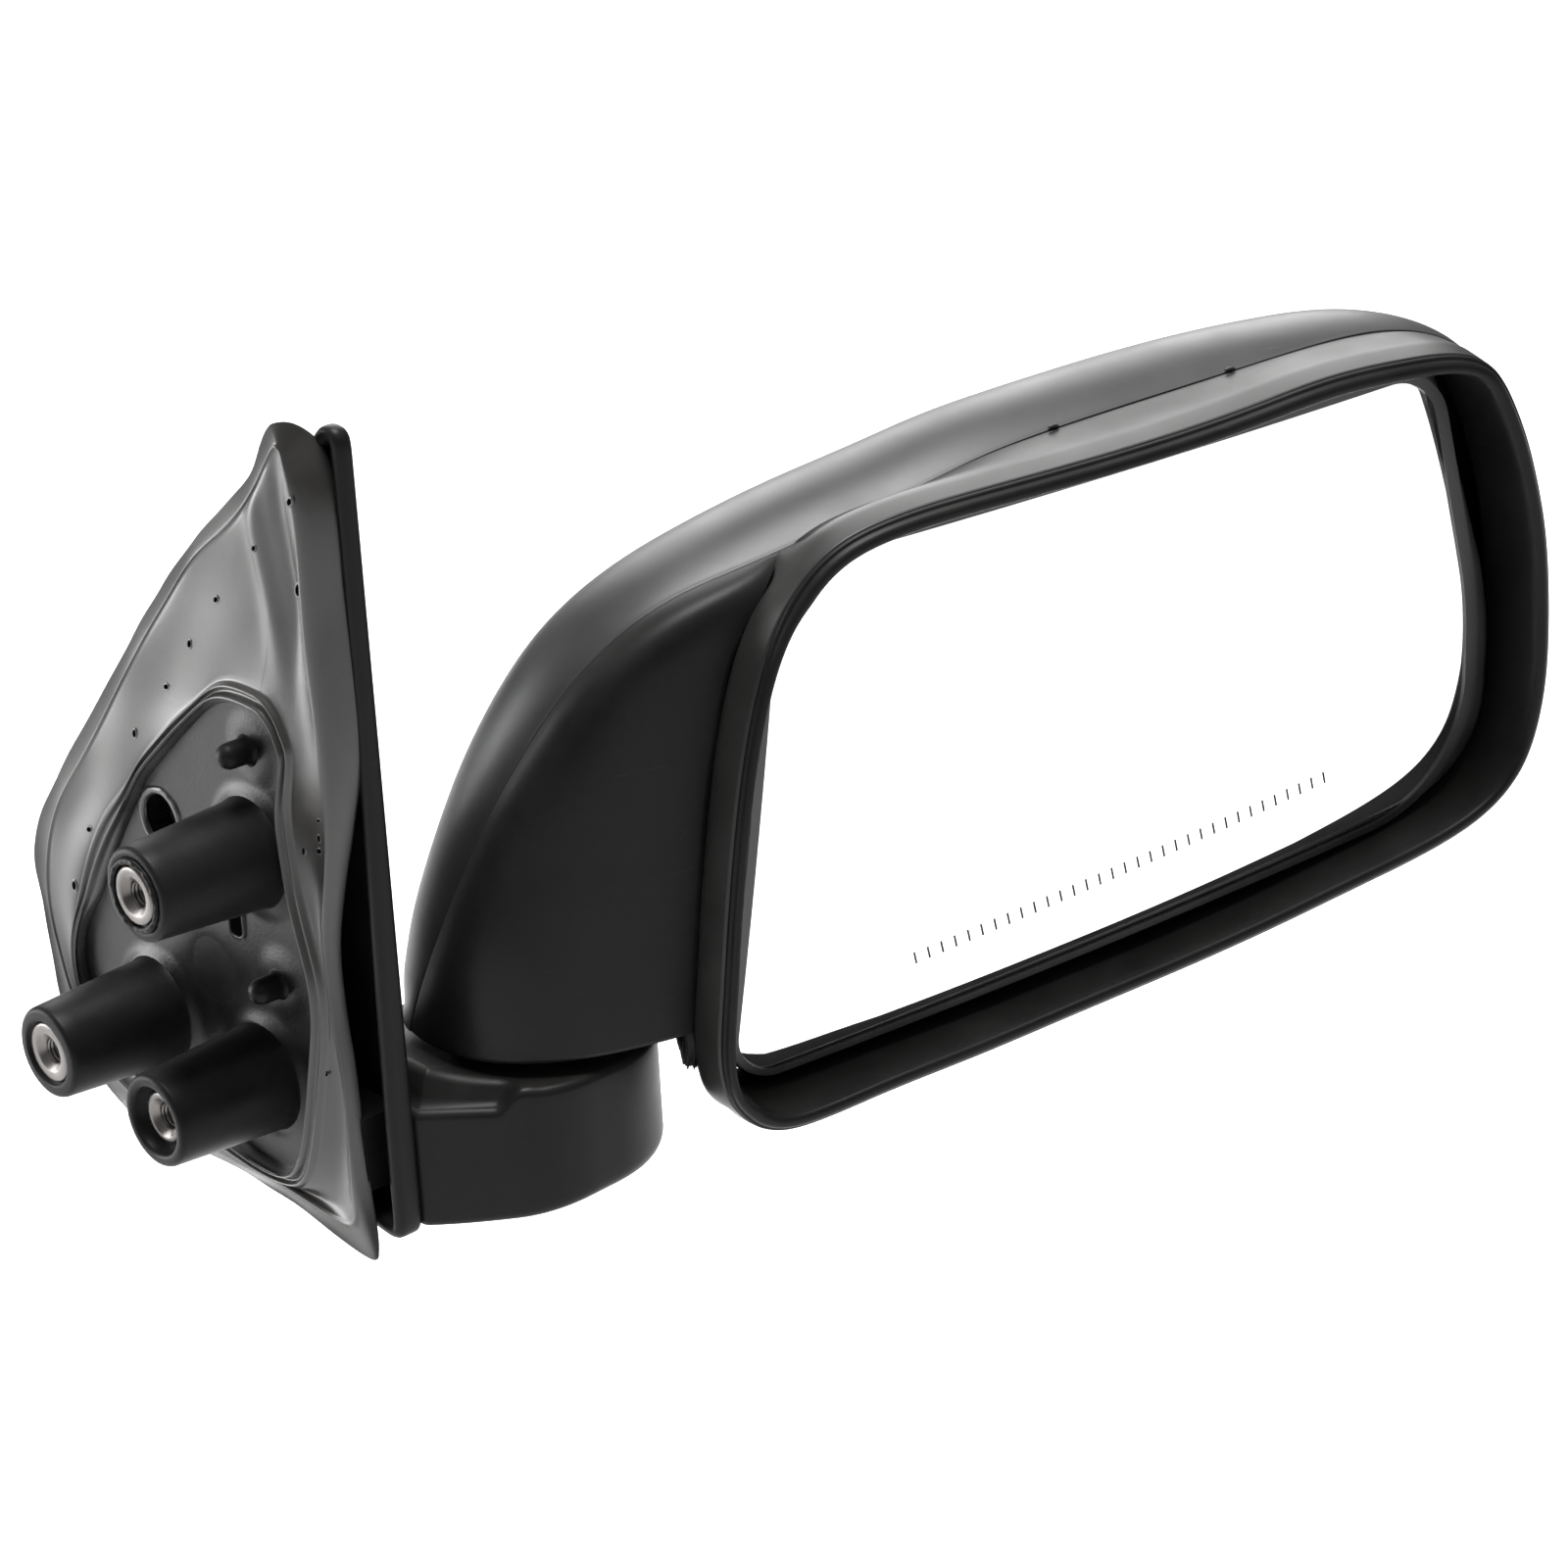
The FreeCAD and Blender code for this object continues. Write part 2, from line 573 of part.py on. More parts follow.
def inner_housing(skin):
    """Rear housing: rim, recess walls round the glass, band and neck panel."""
    wall = common("housing_wall", skin, seam_block("rear_half", False))
    collar = plain_body("collar_block")
    thickness = 2.0
    front = outline_sketch(collar, "XZ_Plane", step_in(RIM, [step - thickness for step in LIP]),
                           "-<rim_depth> - 1.5", "collar_front")
    back = outline_sketch(collar, "XZ_Plane", step_in(RIM, [step - thickness for step in COLLAR]),
                          "-<collar_end>", "collar_back")
    loft(collar, [front, back], "collar_loft")
    recess = plain_body("recess_block")
    mouth = outline_sketch(recess, "XZ_Plane", step_in(RIM, LIP), "-<rim_depth> + 0.5", "recess_mouth")
    floor = outline_sketch(recess, "XZ_Plane", step_in(RIM, COLLAR), "-<collar_end> - 0.5", "recess_floor")
    loft(recess, [mouth, floor], "recess_loft")
    open_wall = cut("housing_open", cut("housing_drilled", wall, pivot_hole(
        "housing_hole", "<detent_radius> + 0.8")), recess)
    keep(fuse("inner_housing", open_wall, cut("collar_ring", collar, recess)), "inner_housing",
         head_place())


def head_frame():
    """Cast frame inside the head: hub round the shaft and a plate that carries the glass."""
    across, depth = to_head(size("pivot_x"), size("pivot_y"))
    plate = prism("frame_plate", PLATE, "-<plate_back>", "<plate_thickness>")
    hub = cylinder("frame_hub", "<hub_radius>", "<hub_floor> - <hub_seat>",
                   (across, depth, size("hub_seat")))
    tube = cylinder("frame_tube", "<tube_radius>", "<tube_top> - <hub_bottom>",
                    (across, depth, size("hub_bottom")))
    bore = cylinder("frame_bore", "<shaft_radius> + <running_gap>", "40", (across, depth, -60))
    well = cylinder("frame_well", "<tube_radius> - <tube_wall>", "60",
                    (across, depth, size("hub_floor")))
    holes = [cylinder("plate_hole_%d" % index, "<screw_radius>", "10", (u, size("plate_back") - 2, up),
                      ALONG_DEPTH) for index, (u, up) in enumerate(FASTENER_POSTS)]
    solid = fuse("frame_solid", plate, hub, tube)
    keep(cut("head_frame", solid, fuse("frame_tools", bore, well, *holes)), "head_frame", head_place())


def frame_screws():
    """Four screws that hold the shell to the frame."""
    shapes = []
    for index, (across, up) in enumerate(FASTENER_POSTS):
        back = size("plate_back")
        shank = cylinder("screw_shank_%d" % index, "<screw_radius>", "<plate_thickness> + 12",
                         (across, back, up), ALONG_DEPTH)
        head = cylinder("screw_head_%d" % index, "<screw_radius> * 1.9", "2.2", (across, back - 2.2, up),
                        ALONG_DEPTH)
        shapes.append(fuse("screw_%d" % index, shank, head))
    compound = doc.addObject("Part::Compound", "frame_screws")
    compound.Links = shapes
    keep(compound, "frame_screws", head_place())


# ---------------------------------------------------------------- glass and its joint

def aim_point():
    """Centre of the ball joint in the head frame."""
    return FreeCAD.Vector(size("aim_across"), size("aim_depth"), size("aim_height"))


def aim_cylinder(name, radius, start, length):
    """A cylinder on the ball joint's depth axis, from one depth forwards."""
    return cylinder(name, radius, length, (size("aim_across"), start, size("aim_height")), ALONG_DEPTH)


def aim_sphere(name, radius):
    """A sphere about the ball joint's centre."""
    ball = bind(doc.addObject("Part::Sphere", name), Radius=radius)
    ball.Placement.Base = aim_point()
    return ball


def ball_stud():
    """Ball on a stem with a flange, fixed to the frame."""
    stem = aim_cylinder("stud_stem", "<stem_radius>", size("aim_depth"), "<plate_back> - <aim_depth>")
    flange = aim_cylinder("stud_flange", "11", size("plate_back") - 2, "2")
    keep(fuse("ball_stud", aim_sphere("stud_ball", "<ball_stud_radius>"), stem, flange),
         "ball_stud", head_place())


def socket_cup():
    """Cup behind the glass that grips the ball past its middle."""
    start = size("holder_back")
    outer = aim_cylinder("cup_outer", "<cup_radius>", start, "<aim_depth> - <holder_back> + 2.6")
    keep(cut("socket_cup", outer, aim_sphere("cup_hollow", "<ball_stud_radius> + <cup_gap>")),
         "socket_cup", head_place())


def cup_spring():
    """Ring spring that squeezes the cup on the ball."""
    torus = doc.addObject("Part::Torus", "cup_spring")
    bind(torus, Radius1="<cup_radius> + 0.8", Radius2="0.8")
    turn = FreeCAD.Placement(aim_point() + FreeCAD.Vector(0, -2, 0), ALONG_DEPTH)
    keep(torus, "cup_spring", head_place().multiply(turn))


def gimbal_ring():
    """Ring with four trunnions: the upright pair in the head, the level pair on the glass."""
    half = size("gimbal_height") / 2
    outer = aim_cylinder("gimbal_body", "<gimbal_outer>", size("aim_depth") - half, "<gimbal_height>")
    inner = aim_cylinder("gimbal_bore", "<gimbal_inner>", size("aim_depth") - half - 1,
                         "<gimbal_height> + 2")
    reach = size("gimbal_outer") - 1
    arms = []
    for index in range(4):
        turn = FreeCAD.Rotation(FreeCAD.Vector(0, 1, 0), 90 * index)
        start = aim_point() + turn.multVec(FreeCAD.Vector(0, 0, reach))
        arm = cylinder("trunnion_%d" % index, "<trunnion_radius>", "<trunnion_reach> - <gimbal_outer> + 1",
                       tuple(start), turn)
        arms.append(arm)
    keep(fuse("gimbal_ring", cut("gimbal_band", outer, inner), *arms), "gimbal_ring", head_place())


def lug(name, angle, root, depth_end):
    """A lug with a trunnion hole, standing between a root depth and past the ball's centre."""
    turn = FreeCAD.Rotation(FreeCAD.Vector(0, 1, 0), angle)
    block = bind(doc.addObject("Part::Box", name), Length="<lug_width>", Height="<lug_thickness>")
    block.Width = abs(depth_end - root)
    corner = FreeCAD.Vector(-size("lug_width") / 2, min(root, depth_end) - size("aim_depth"),
                            size("lug_inner"))
    block.Placement = FreeCAD.Placement(aim_point() + turn.multVec(corner), turn)
    hole_start = aim_point() + turn.multVec(FreeCAD.Vector(0, 0, size("lug_inner") - 1))
    hole = cylinder(name + "_hole", "<trunnion_radius> + <running_gap>", "8", tuple(hole_start), turn)
    return cut(name + "_drilled", block, hole)


def gimbal_bracket():
    """Bracket on the frame with two lugs for the upright trunnions."""
    end = size("aim_depth") - size("lug_overlap")
    root = size("plate_back")
    upper = lug("bracket_upper", 0, root, end)
    lower = lug("bracket_lower", 180, root, end)
    bridge = aim_cylinder("bracket_bridge", "<lug_inner> + <lug_thickness>", size("plate_back") - 2, "2")
    hole = aim_cylinder("bracket_hole", "11", size("plate_back") - 3, "4")
    keep(fuse("gimbal_bracket", upper, lower, cut("bracket_ring", bridge, hole)),
         "gimbal_bracket", head_place())


def curve_ball(name, step):
    """A ball whose surface follows the convex glass, stepped back from its face."""
    ball = doc.addObject("Part::Sphere", name)
    bind(ball, Radius="<glass_curve> - %g" % step)
    ball.Placement.Base = FreeCAD.Vector(size("aim_across"), size("glass_crest") + size("glass_curve"),
                                         size("aim_height"))
    return ball


def glass_holder():
    """Plastic tray behind the glass, with a raised edge round it and a hub for the ball joint."""
    layers = size("glass_thickness") + size("pad_thickness")
    tray = prism("tray_block", step_in(RIM, HOLDER), "-<rim_depth>", "-<rim_depth> + <holder_back>")
    curved = common("tray_curved", tray, curve_ball("tray_face", -size("tray_lip")))
    hollow = cut("tray_shell", curved, curve_ball("tray_back", size("tray_thickness")))
    inner = prism("tray_inner", step_in(RIM, GLASS), "-<rim_depth>", "60")
    recess = cut("tray_recess", inner, curve_ball("tray_floor", layers))
    hub_root = size("glass_crest") + size("tray_thickness") - 1
    hub = aim_cylinder("tray_hub", "<tray_hub_radius>", hub_root, "<holder_back> - (%g)" % hub_root)
    lugs = [lug("holder_lug_%d" % side, side * 90, size("holder_back") - 1,
                size("aim_depth") + size("lug_overlap")) for side in (1, -1)]
    keep(fuse("glass_holder", cut("tray_cut", hollow, recess), hub, *lugs), "glass_holder", head_place())


def curved_layer(label, outline, front, back):
    """A layer parallel to the glass between two steps back from its face."""
    block = prism(label + "_block", outline, "45", "60")
    layer = cut(label + "_slab", curve_ball(label + "_front", front), curve_ball(label + "_back", back))
    keep(common(label, block, layer), label, head_place())


# ---------------------------------------------------------------- make everything

base_casting()
for boss, (boss_y, boss_z) in bosses().items():
    fixing_boss(boss, boss_y, boss_z)
    thread_insert(boss, boss_y, boss_z)
locating_pins()
sail_cover()
door_gasket()
foot_cover()
foot_cap()
foot_screws()
cover_clips()
pivot_shaft()
detents()
fold_spring()
ring("spring_washer", "<spring_radius> + 2.5", "<shaft_radius> + <running_gap>", "2", size("spring_top"))
shaft_nut()
head_solid, head_wall = head_skin()
outer_shell(head_solid, head_wall)
inner_housing(head_wall)
head_frame()
frame_screws()
ball_stud()
gimbal_bracket()
gimbal_ring()
socket_cup()
cup_spring()
glass_holder()
curved_layer("adhesive_pad", step_in(RIM, [step + 6 for step in GLASS]), size("glass_thickness"),
             size("glass_thickness") + size("pad_thickness"))
curved_layer("mirror_glass", step_in(RIM, [step + 0.1 for step in GLASS]), 0, size("glass_thickness"))
doc.recompute()

for item in doc.Objects:
    if "Invalid" in item.State or "Error" in item.State:
        raise RuntimeError("%s did not build: %s" % (item.Name, item.State))

os.makedirs("parts", exist_ok=True)
for piece in pieces:
    shape = piece.Shape
    if shape.isNull() or not shape.isValid():
        raise RuntimeError("%s has no valid shape" % piece.Label)
    shape.exportStep("parts/%s.step" % piece.Label)
    box = shape.BoundBox
    print("%-16s solids %d volume %9.0f  x %.1f %.1f  y %.1f %.1f  z %.1f %.1f" % (
        piece.Label, len(shape.Solids), shape.Volume, box.XMin, box.XMax, box.YMin, box.YMax,
        box.ZMin, box.ZMax))
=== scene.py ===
import math

import bmesh
import bpy
import numpy as np
from mathutils import Matrix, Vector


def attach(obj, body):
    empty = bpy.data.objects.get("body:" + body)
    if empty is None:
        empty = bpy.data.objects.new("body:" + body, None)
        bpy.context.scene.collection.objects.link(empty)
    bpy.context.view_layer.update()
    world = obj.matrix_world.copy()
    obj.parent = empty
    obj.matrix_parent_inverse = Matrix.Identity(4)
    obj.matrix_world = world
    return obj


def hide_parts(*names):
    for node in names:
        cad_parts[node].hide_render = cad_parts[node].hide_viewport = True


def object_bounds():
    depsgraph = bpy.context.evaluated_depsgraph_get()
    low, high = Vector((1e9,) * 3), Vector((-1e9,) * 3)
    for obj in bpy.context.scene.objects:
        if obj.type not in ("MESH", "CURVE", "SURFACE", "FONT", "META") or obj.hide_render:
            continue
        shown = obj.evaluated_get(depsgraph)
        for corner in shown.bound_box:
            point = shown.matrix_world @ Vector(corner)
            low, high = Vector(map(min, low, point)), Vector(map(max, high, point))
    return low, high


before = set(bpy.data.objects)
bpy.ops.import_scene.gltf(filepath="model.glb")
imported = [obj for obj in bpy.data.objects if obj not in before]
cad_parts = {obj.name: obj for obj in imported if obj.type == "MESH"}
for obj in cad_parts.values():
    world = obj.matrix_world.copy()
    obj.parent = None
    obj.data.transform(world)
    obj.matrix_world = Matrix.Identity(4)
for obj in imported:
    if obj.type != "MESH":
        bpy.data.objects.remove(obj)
cad_low, cad_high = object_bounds()

# Right-hand door mirror: satin shell and black housing on a folding head, convex glass, and a
# triangular foot with a rubber gasket and three threaded bosses.
# All shapes are drawn in millimetres and scaled to metres when a mesh is made.
# Head frame: across (towards the tip), depth (towards the front of the car), height.

MM = 0.001
HEAD_YAW = math.radians(18)
ACROSS = np.array([math.cos(HEAD_YAW), -math.sin(HEAD_YAW), 0.0])
DEPTH = np.array([math.sin(HEAD_YAW), math.cos(HEAD_YAW), 0.0])
UP = np.array([0.0, 0.0, 1.0])
RIM_DEPTH = -44.0
RING_BACK = -31.5
SEAM_DEPTH = -22.0
NECK_FLOOR = -49.0


# ---------------------------------------------------------------- curves and surfaces

def smooth_step(low, high, value):
    """Zero below low, one above high, and a smooth S between."""
    share = np.clip((np.asarray(value, float) - low) / (high - low), 0, 1)
    return share * share * (3 - 2 * share)


def hump(value, centre, width):
    """A bell of height one about a centre."""
    return np.exp(-((np.asarray(value, float) - centre) / width) ** 2)


def spline(knots, values, at):
    """Natural cubic through the values at the knots, one column at a time, read at new places."""
    knots = np.asarray(knots, float)
    values = np.asarray(values, float).reshape(len(knots), -1)
    at = np.atleast_1d(np.asarray(at, float))
    gaps = np.diff(knots)
    slopes = np.diff(values, axis=0) / gaps[:, None]
    count = len(knots)
    system = np.eye(count)
    right = np.zeros_like(values)
    inner = np.arange(1, count - 1)
    system[inner, inner - 1] = gaps[:-1]
    system[inner, inner] = 2 * (gaps[:-1] + gaps[1:])
    system[inner, inner + 1] = gaps[1:]
    right[1:-1] = 6 * np.diff(slopes, axis=0)
    bend = np.linalg.solve(system, right)
    i = np.clip(np.searchsorted(knots, at, side="right") - 1, 0, count - 2)
    g = gaps[i][:, None]
    a = (knots[i + 1] - at)[:, None] / g
    b = 1 - a
    return (a * values[i] + b * values[i + 1]
            + ((a ** 3 - a) * bend[i] + (b ** 3 - b) * bend[i + 1]) * g * g / 6)


def even_loop(points, count):
    """The closed polyline's points spread again at equal distances along it."""
    closed = np.vstack([points, points[:1]])
    run = np.concatenate([[0], np.cumsum(np.linalg.norm(np.diff(closed, axis=0), axis=1))])
    at = np.linspace(0, run[-1], count, endpoint=False)
    return np.column_stack([np.interp(at, run, closed[:, k]) for k in range(closed.shape[1])])


def soften(values, reach):
    """A closed row of values averaged with a bell of the given reach, in samples."""
    count = len(values)
    offsets = np.arange(count)
    offsets = np.minimum(offsets, count - offsets)
    bell = np.exp(-0.5 * (offsets / reach) ** 2)
    bell /= bell.sum()
    flat = np.asarray(values, float).reshape(count, -1)
    mixed = np.real(np.fft.ifft(np.fft.fft(flat, axis=0) * np.fft.fft(bell)[:, None], axis=0))
    return mixed.reshape(np.shape(values))


def rounded_loop(corners, count, reach=0.0):
    """Corners (x, y, radius) joined by straight runs and arcs, spread evenly, then softened so that
    the bend comes in gradually; counter-clockwise."""
    corners = np.asarray(corners, float)
    place, radius = corners[:, :2], corners[:, 2]
    before = np.roll(place, 1, axis=0) - place
    after = np.roll(place, -1, axis=0) - place
    before /= np.linalg.norm(before, axis=1)[:, None]
    after /= np.linalg.norm(after, axis=1)[:, None]
    half = 0.5 * np.arccos(np.clip((before * after).sum(1), -1, 1))
    middle = before + after
    middle /= np.linalg.norm(middle, axis=1)[:, None]
    centre = place + middle * (radius / np.sin(half))[:, None]
    start = place + before * (radius / np.tan(half))[:, None] - centre
    end = place + after * (radius / np.tan(half))[:, None] - centre
    arc = np.linspace(0, 1, 24)[None, :, None]
    turn = (math.pi - 2 * half)[:, None, None]
    swing = (np.sin((1 - arc) * turn) * start[:, None] + np.sin(arc * turn) * end[:, None]) / np.sin(turn)
    loop = (centre[:, None] + swing).reshape(-1, 2)
    loop = even_loop(loop, count)
    if reach:
        loop = soften(loop, reach)
    return loop


def outward(loop):
    """Unit outward normals of a counter-clockwise closed loop."""
    along = np.roll(loop, -1, axis=0) - np.roll(loop, 1, axis=0)
    along /= np.linalg.norm(along, axis=1)[:, None]
    return np.column_stack([along[:, 1], -along[:, 0]])


def in_head(across, depth, height):
    """Head-frame coordinates as points of the row frame."""
    across, depth, height = np.broadcast_arrays(across, depth, height)
    return across[..., None] * ACROSS + depth[..., None] * DEPTH + height[..., None] * UP


def grid_faces(rows, cols, wrap_rows=False, wrap_cols=False):
    """Quads between neighbouring points of a grid, rows by cols, with either way closed on itself."""
    r = np.arange(rows if wrap_rows else rows - 1)
    c = np.arange(cols if wrap_cols else cols - 1)
    r0, c0 = np.meshgrid(r, c, indexing="ij")
    r1, c1 = (r0 + 1) % rows, (c0 + 1) % cols
    return np.stack([r0 * cols + c0, r0 * cols + c1, r1 * cols + c1, r1 * cols + c0], -1).reshape(-1, 4)


def piece(name, grids, body, material, replaces=(), wall=0.0):
    """Makes one mesh from (points, wrap rows, wrap cols) grids in millimetres, merges what meets,
    gives it a wall where asked, and lets it ride on its body."""
    points, faces, start = [], [], 0
    for grid, wrap_rows, wrap_cols in grids:
        rows, cols = grid.shape[:2]
        points.append(grid.reshape(-1, 3))
        faces.append(grid_faces(rows, cols, wrap_rows, wrap_cols) + start)
        start += rows * cols
    mesh = bpy.data.meshes.new(name)
    quads = [tuple(face) for face in np.vstack(faces).tolist()]
    mesh.from_pydata((np.vstack(points) * MM).tolist(), [], quads)
    work = bmesh.new()
    work.from_mesh(mesh)
    bmesh.ops.remove_doubles(work, verts=work.verts, dist=0.00002)
    bmesh.ops.dissolve_degenerate(work, edges=work.edges, dist=0.00001)
    bmesh.ops.recalc_face_normals(work, faces=work.faces)
    work.to_mesh(mesh)
    work.free()
    mesh.polygons.foreach_set("use_smooth", np.ones(len(mesh.polygons), bool))
    obj = bpy.data.objects.new(name, mesh)
    bpy.context.scene.collection.objects.link(obj)
    obj.data.materials.append(material)
    if wall:
        thick = obj.modifiers.new("wall", "SOLIDIFY")
        thick.thickness = wall * MM
        thick.offset = -1
        thick.thickness_clamp = 0.8
    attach(obj, body)
    if replaces:
        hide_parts(*replaces)
    return obj


def turned(profile, centre, axis_start=0.0, around=72):
    """A profile of (distance along +X, radius) turned about an axis parallel to X through (y, z)."""
    profile = np.asarray(profile, float)
    angle = np.linspace(0, 2 * math.pi, around, endpoint=False)
    x = np.repeat(profile[:, :1] + axis_start, around, axis=1)
    y = centre[0] + profile[:, 1:] * np.cos(angle)[None]
    z = centre[1] + profile[:, 1:] * np.sin(angle)[None]
    return np.stack([x, y, z], -1)


# ---------------------------------------------------------------- finishes

def new_group(name, inputs, outputs):
    """A shader node group with named number inputs and named outputs."""
    tree = bpy.data.node_groups.new(name, "ShaderNodeTree")
    for label, value in inputs.items():
        socket = tree.interface.new_socket(label, in_out="INPUT", socket_type="NodeSocketFloat")
        socket.default_value = value
    for label, kind in outputs.items():
        tree.interface.new_socket(label, in_out="OUTPUT", socket_type=kind)
    return tree, tree.nodes.new("NodeGroupInput"), tree.nodes.new("NodeGroupOutput")


def noise(tree, coordinates, scale, detail=3.0, rough=0.5):
    """A noise texture on the given coordinates; scale is a number or a socket."""
    node = tree.nodes.new("ShaderNodeTexNoise")
    node.inputs["Detail"].default_value = detail
    node.inputs["Roughness"].default_value = rough
    tree.links.new(coordinates, node.inputs["Vector"])
    if isinstance(scale, (int, float)):
        node.inputs["Scale"].default_value = scale
    else:
        tree.links.new(scale, node.inputs["Scale"])
    return node.outputs["Fac"]


def math_node(tree, kind, *values):
    """A Math node whose inputs are numbers or sockets."""
    node = tree.nodes.new("ShaderNodeMath")
    node.operation = kind
    for socket, value in zip(node.inputs, values):
        if isinstance(value, (int, float)):
            socket.default_value = value
        else:
            tree.links.new(value, socket)
    return node.outputs[0]


def spread(tree, value, low, high, out_low=0.0, out_high=1.0):
    """Stretches a value from one range to another and holds it inside."""
    node = tree.nodes.new("ShaderNodeMapRange")
    tree.links.new(value, node.inputs["Value"])
    for label, number in (("From Min", low), ("From Max", high), ("To Min", out_low), ("To Max", out_high)):
        node.inputs[label].default_value = number
    return node.outputs["Result"]


def grain_group():
    """Fine moulded or cast grain: two sizes of noise as one height."""
    tree, source, sink = new_group("surface_grain", {"Scale": 2500.0, "Coarse": 0.3},
                                   {"Height": "NodeSocketFloat"})
    place = tree.nodes.new("ShaderNodeTexCoord").outputs["Object"]
    fine = noise(tree, place, source.outputs["Scale"], 2.0)
    broad_scale = math_node(tree, "MULTIPLY", source.outputs["Scale"], 0.16)
    broad = noise(tree, place, broad_scale, 2.0)
    weighted = math_node(tree, "MULTIPLY", broad, source.outputs["Coarse"])
    tree.links.new(math_node(tree, "ADD", fine, weighted), sink.inputs["Height"])
    return tree


def handling_group():
    """Where a surface was touched and rubbed: a cloudy mask and thin stray scratches."""
    tree, source, sink = new_group("handling", {"Size": 40.0, "Scratches": 0.5},
                                   {"Cloud": "NodeSocketFloat", "Scratch": "NodeSocketFloat"})
    place = tree.nodes.new("ShaderNodeTexCoord").outputs["Object"]
    cloud = noise(tree, place, source.outputs["Size"], 4.0, 0.6)
    tree.links.new(spread(tree, cloud, 0.35, 0.65), sink.inputs["Cloud"])
    stretch = tree.nodes.new("ShaderNodeMapping")
    stretch.inputs["Rotation"].default_value = (0.4, 0.3, 0.6)
    stretch.inputs["Scale"].default_value = (1.0, 1.0, 22.0)
    tree.links.new(place, stretch.inputs["Vector"])
    lines = spread(tree, noise(tree, stretch.outputs["Vector"], 70.0, 2.0), 0.72, 0.78)
    patch = spread(tree, noise(tree, place, 26.0, 1.0), 0.52, 0.62)
    both = math_node(tree, "MULTIPLY", lines, patch)
    tree.links.new(math_node(tree, "MULTIPLY", both, source.outputs["Scratches"]), sink.inputs["Scratch"])
    return tree


def dust_group():
    """Pale specks of dust and a thin film where it settles on faces that look up."""
    tree, source, sink = new_group("dust", {"Amount": 0.3, "Specks": 900.0}, {"Mask": "NodeSocketFloat"})
    place = tree.nodes.new("ShaderNodeTexCoord").outputs["Object"]
    cells = tree.nodes.new("ShaderNodeTexVoronoi")
    tree.links.new(place, cells.inputs["Vector"])
    tree.links.new(source.outputs["Specks"], cells.inputs["Scale"])
    specks = spread(tree, cells.outputs["Distance"], 0.10, 0.04)
    some = spread(tree, noise(tree, place, 55.0, 3.0), 0.60, 0.68)
    speck_mask = math_node(tree, "MULTIPLY", specks, some)
    facing = tree.nodes.new("ShaderNodeSeparateXYZ")
    tree.links.new(tree.nodes.new("ShaderNodeNewGeometry").outputs["Normal"], facing.inputs[0])
    film = math_node(tree, "MULTIPLY", spread(tree, facing.outputs["Z"], 0.3, 1.0),
                     spread(tree, noise(tree, place, 30.0, 5.0, 0.65), 0.3, 0.8))
    film = math_node(tree, "MULTIPLY", film, 0.35)
    total = math_node(tree, "MULTIPLY", math_node(tree, "MAXIMUM", speck_mask, film),
                      source.outputs["Amount"])
    tree.links.new(total, sink.inputs["Mask"])
    return tree


GRAIN = grain_group()
HANDLING = handling_group()
DUST = dust_group()
DUST_COLOUR = (0.32, 0.30, 0.28, 1)


def use_group(tree, group, **values):
    """Places a node group with its own values."""
    node = tree.nodes.new("ShaderNodeGroup")
    node.node_tree = group
    for label, value in values.items():
        node.inputs[label].default_value = value
    return node


def mixed(tree, share, first, second):
    """A colour mix; each side is a colour or a socket."""
    node = tree.nodes.new("ShaderNodeMix")
    node.data_type = "RGBA"
    tree.links.new(share, node.inputs["Factor"])
    for label, value in (("A", first), ("B", second)):
        socket = [s for s in node.inputs if s.name == label and s.type == "RGBA"][0]
        if isinstance(value, tuple):
            socket.default_value = value
        else:
            tree.links.new(value, socket)
    return [s for s in node.outputs if s.type == "RGBA"][0]


def finish(name, dark, light, rough=(0.35, 0.5), metal=0.0, grain=2500.0, coarse=0.3, depth=0.08,
           cloud=40.0, scratches=0.4, dust=0.2, specular=0.5):
    """A finish: colour drifts from dark to light in clouds, roughness drifts with it, scratches
    show paler, dust lies on top, and the grain is a fine bump."""
    material = bpy.data.materials.new(name)
    material.use_nodes = True
    tree = material.node_tree
    shader = tree.nodes["Principled BSDF"]
    shader.inputs["Metallic"].default_value = metal
    shader.inputs["Specular IOR Level"].default_value = specular
    handled = use_group(tree, HANDLING, Size=cloud, Scratches=scratches)
    dusty = use_group(tree, DUST, Amount=dust)
    colour = mixed(tree, handled.outputs["Cloud"], dark + (1,), light + (1,))
    pale = tuple(min(1.0, 1.8 * c + 0.02) for c in light) + (1,)
    colour = mixed(tree, handled.outputs["Scratch"], colour, pale)
    colour = mixed(tree, dusty.outputs["Mask"], colour, DUST_COLOUR)
    tree.links.new(colour, shader.inputs["Base Color"])
    low, high = rough
    drift = spread(tree, handled.outputs["Cloud"], 0.0, 1.0, low, high)
    worn = math_node(tree, "ADD", drift, math_node(tree, "MULTIPLY", dusty.outputs["Mask"], 0.5))
    tree.links.new(worn, shader.inputs["Roughness"])
    grained = use_group(tree, GRAIN, Scale=grain, Coarse=coarse)
    bump = tree.nodes.new("ShaderNodeBump")
    bump.inputs["Strength"].default_value = depth
    bump.inputs["Distance"].default_value = 0.0002
    tree.links.new(grained.outputs["Height"], bump.inputs["Height"])
    tree.links.new(bump.outputs["Normal"], shader.inputs["Normal"])
    return material


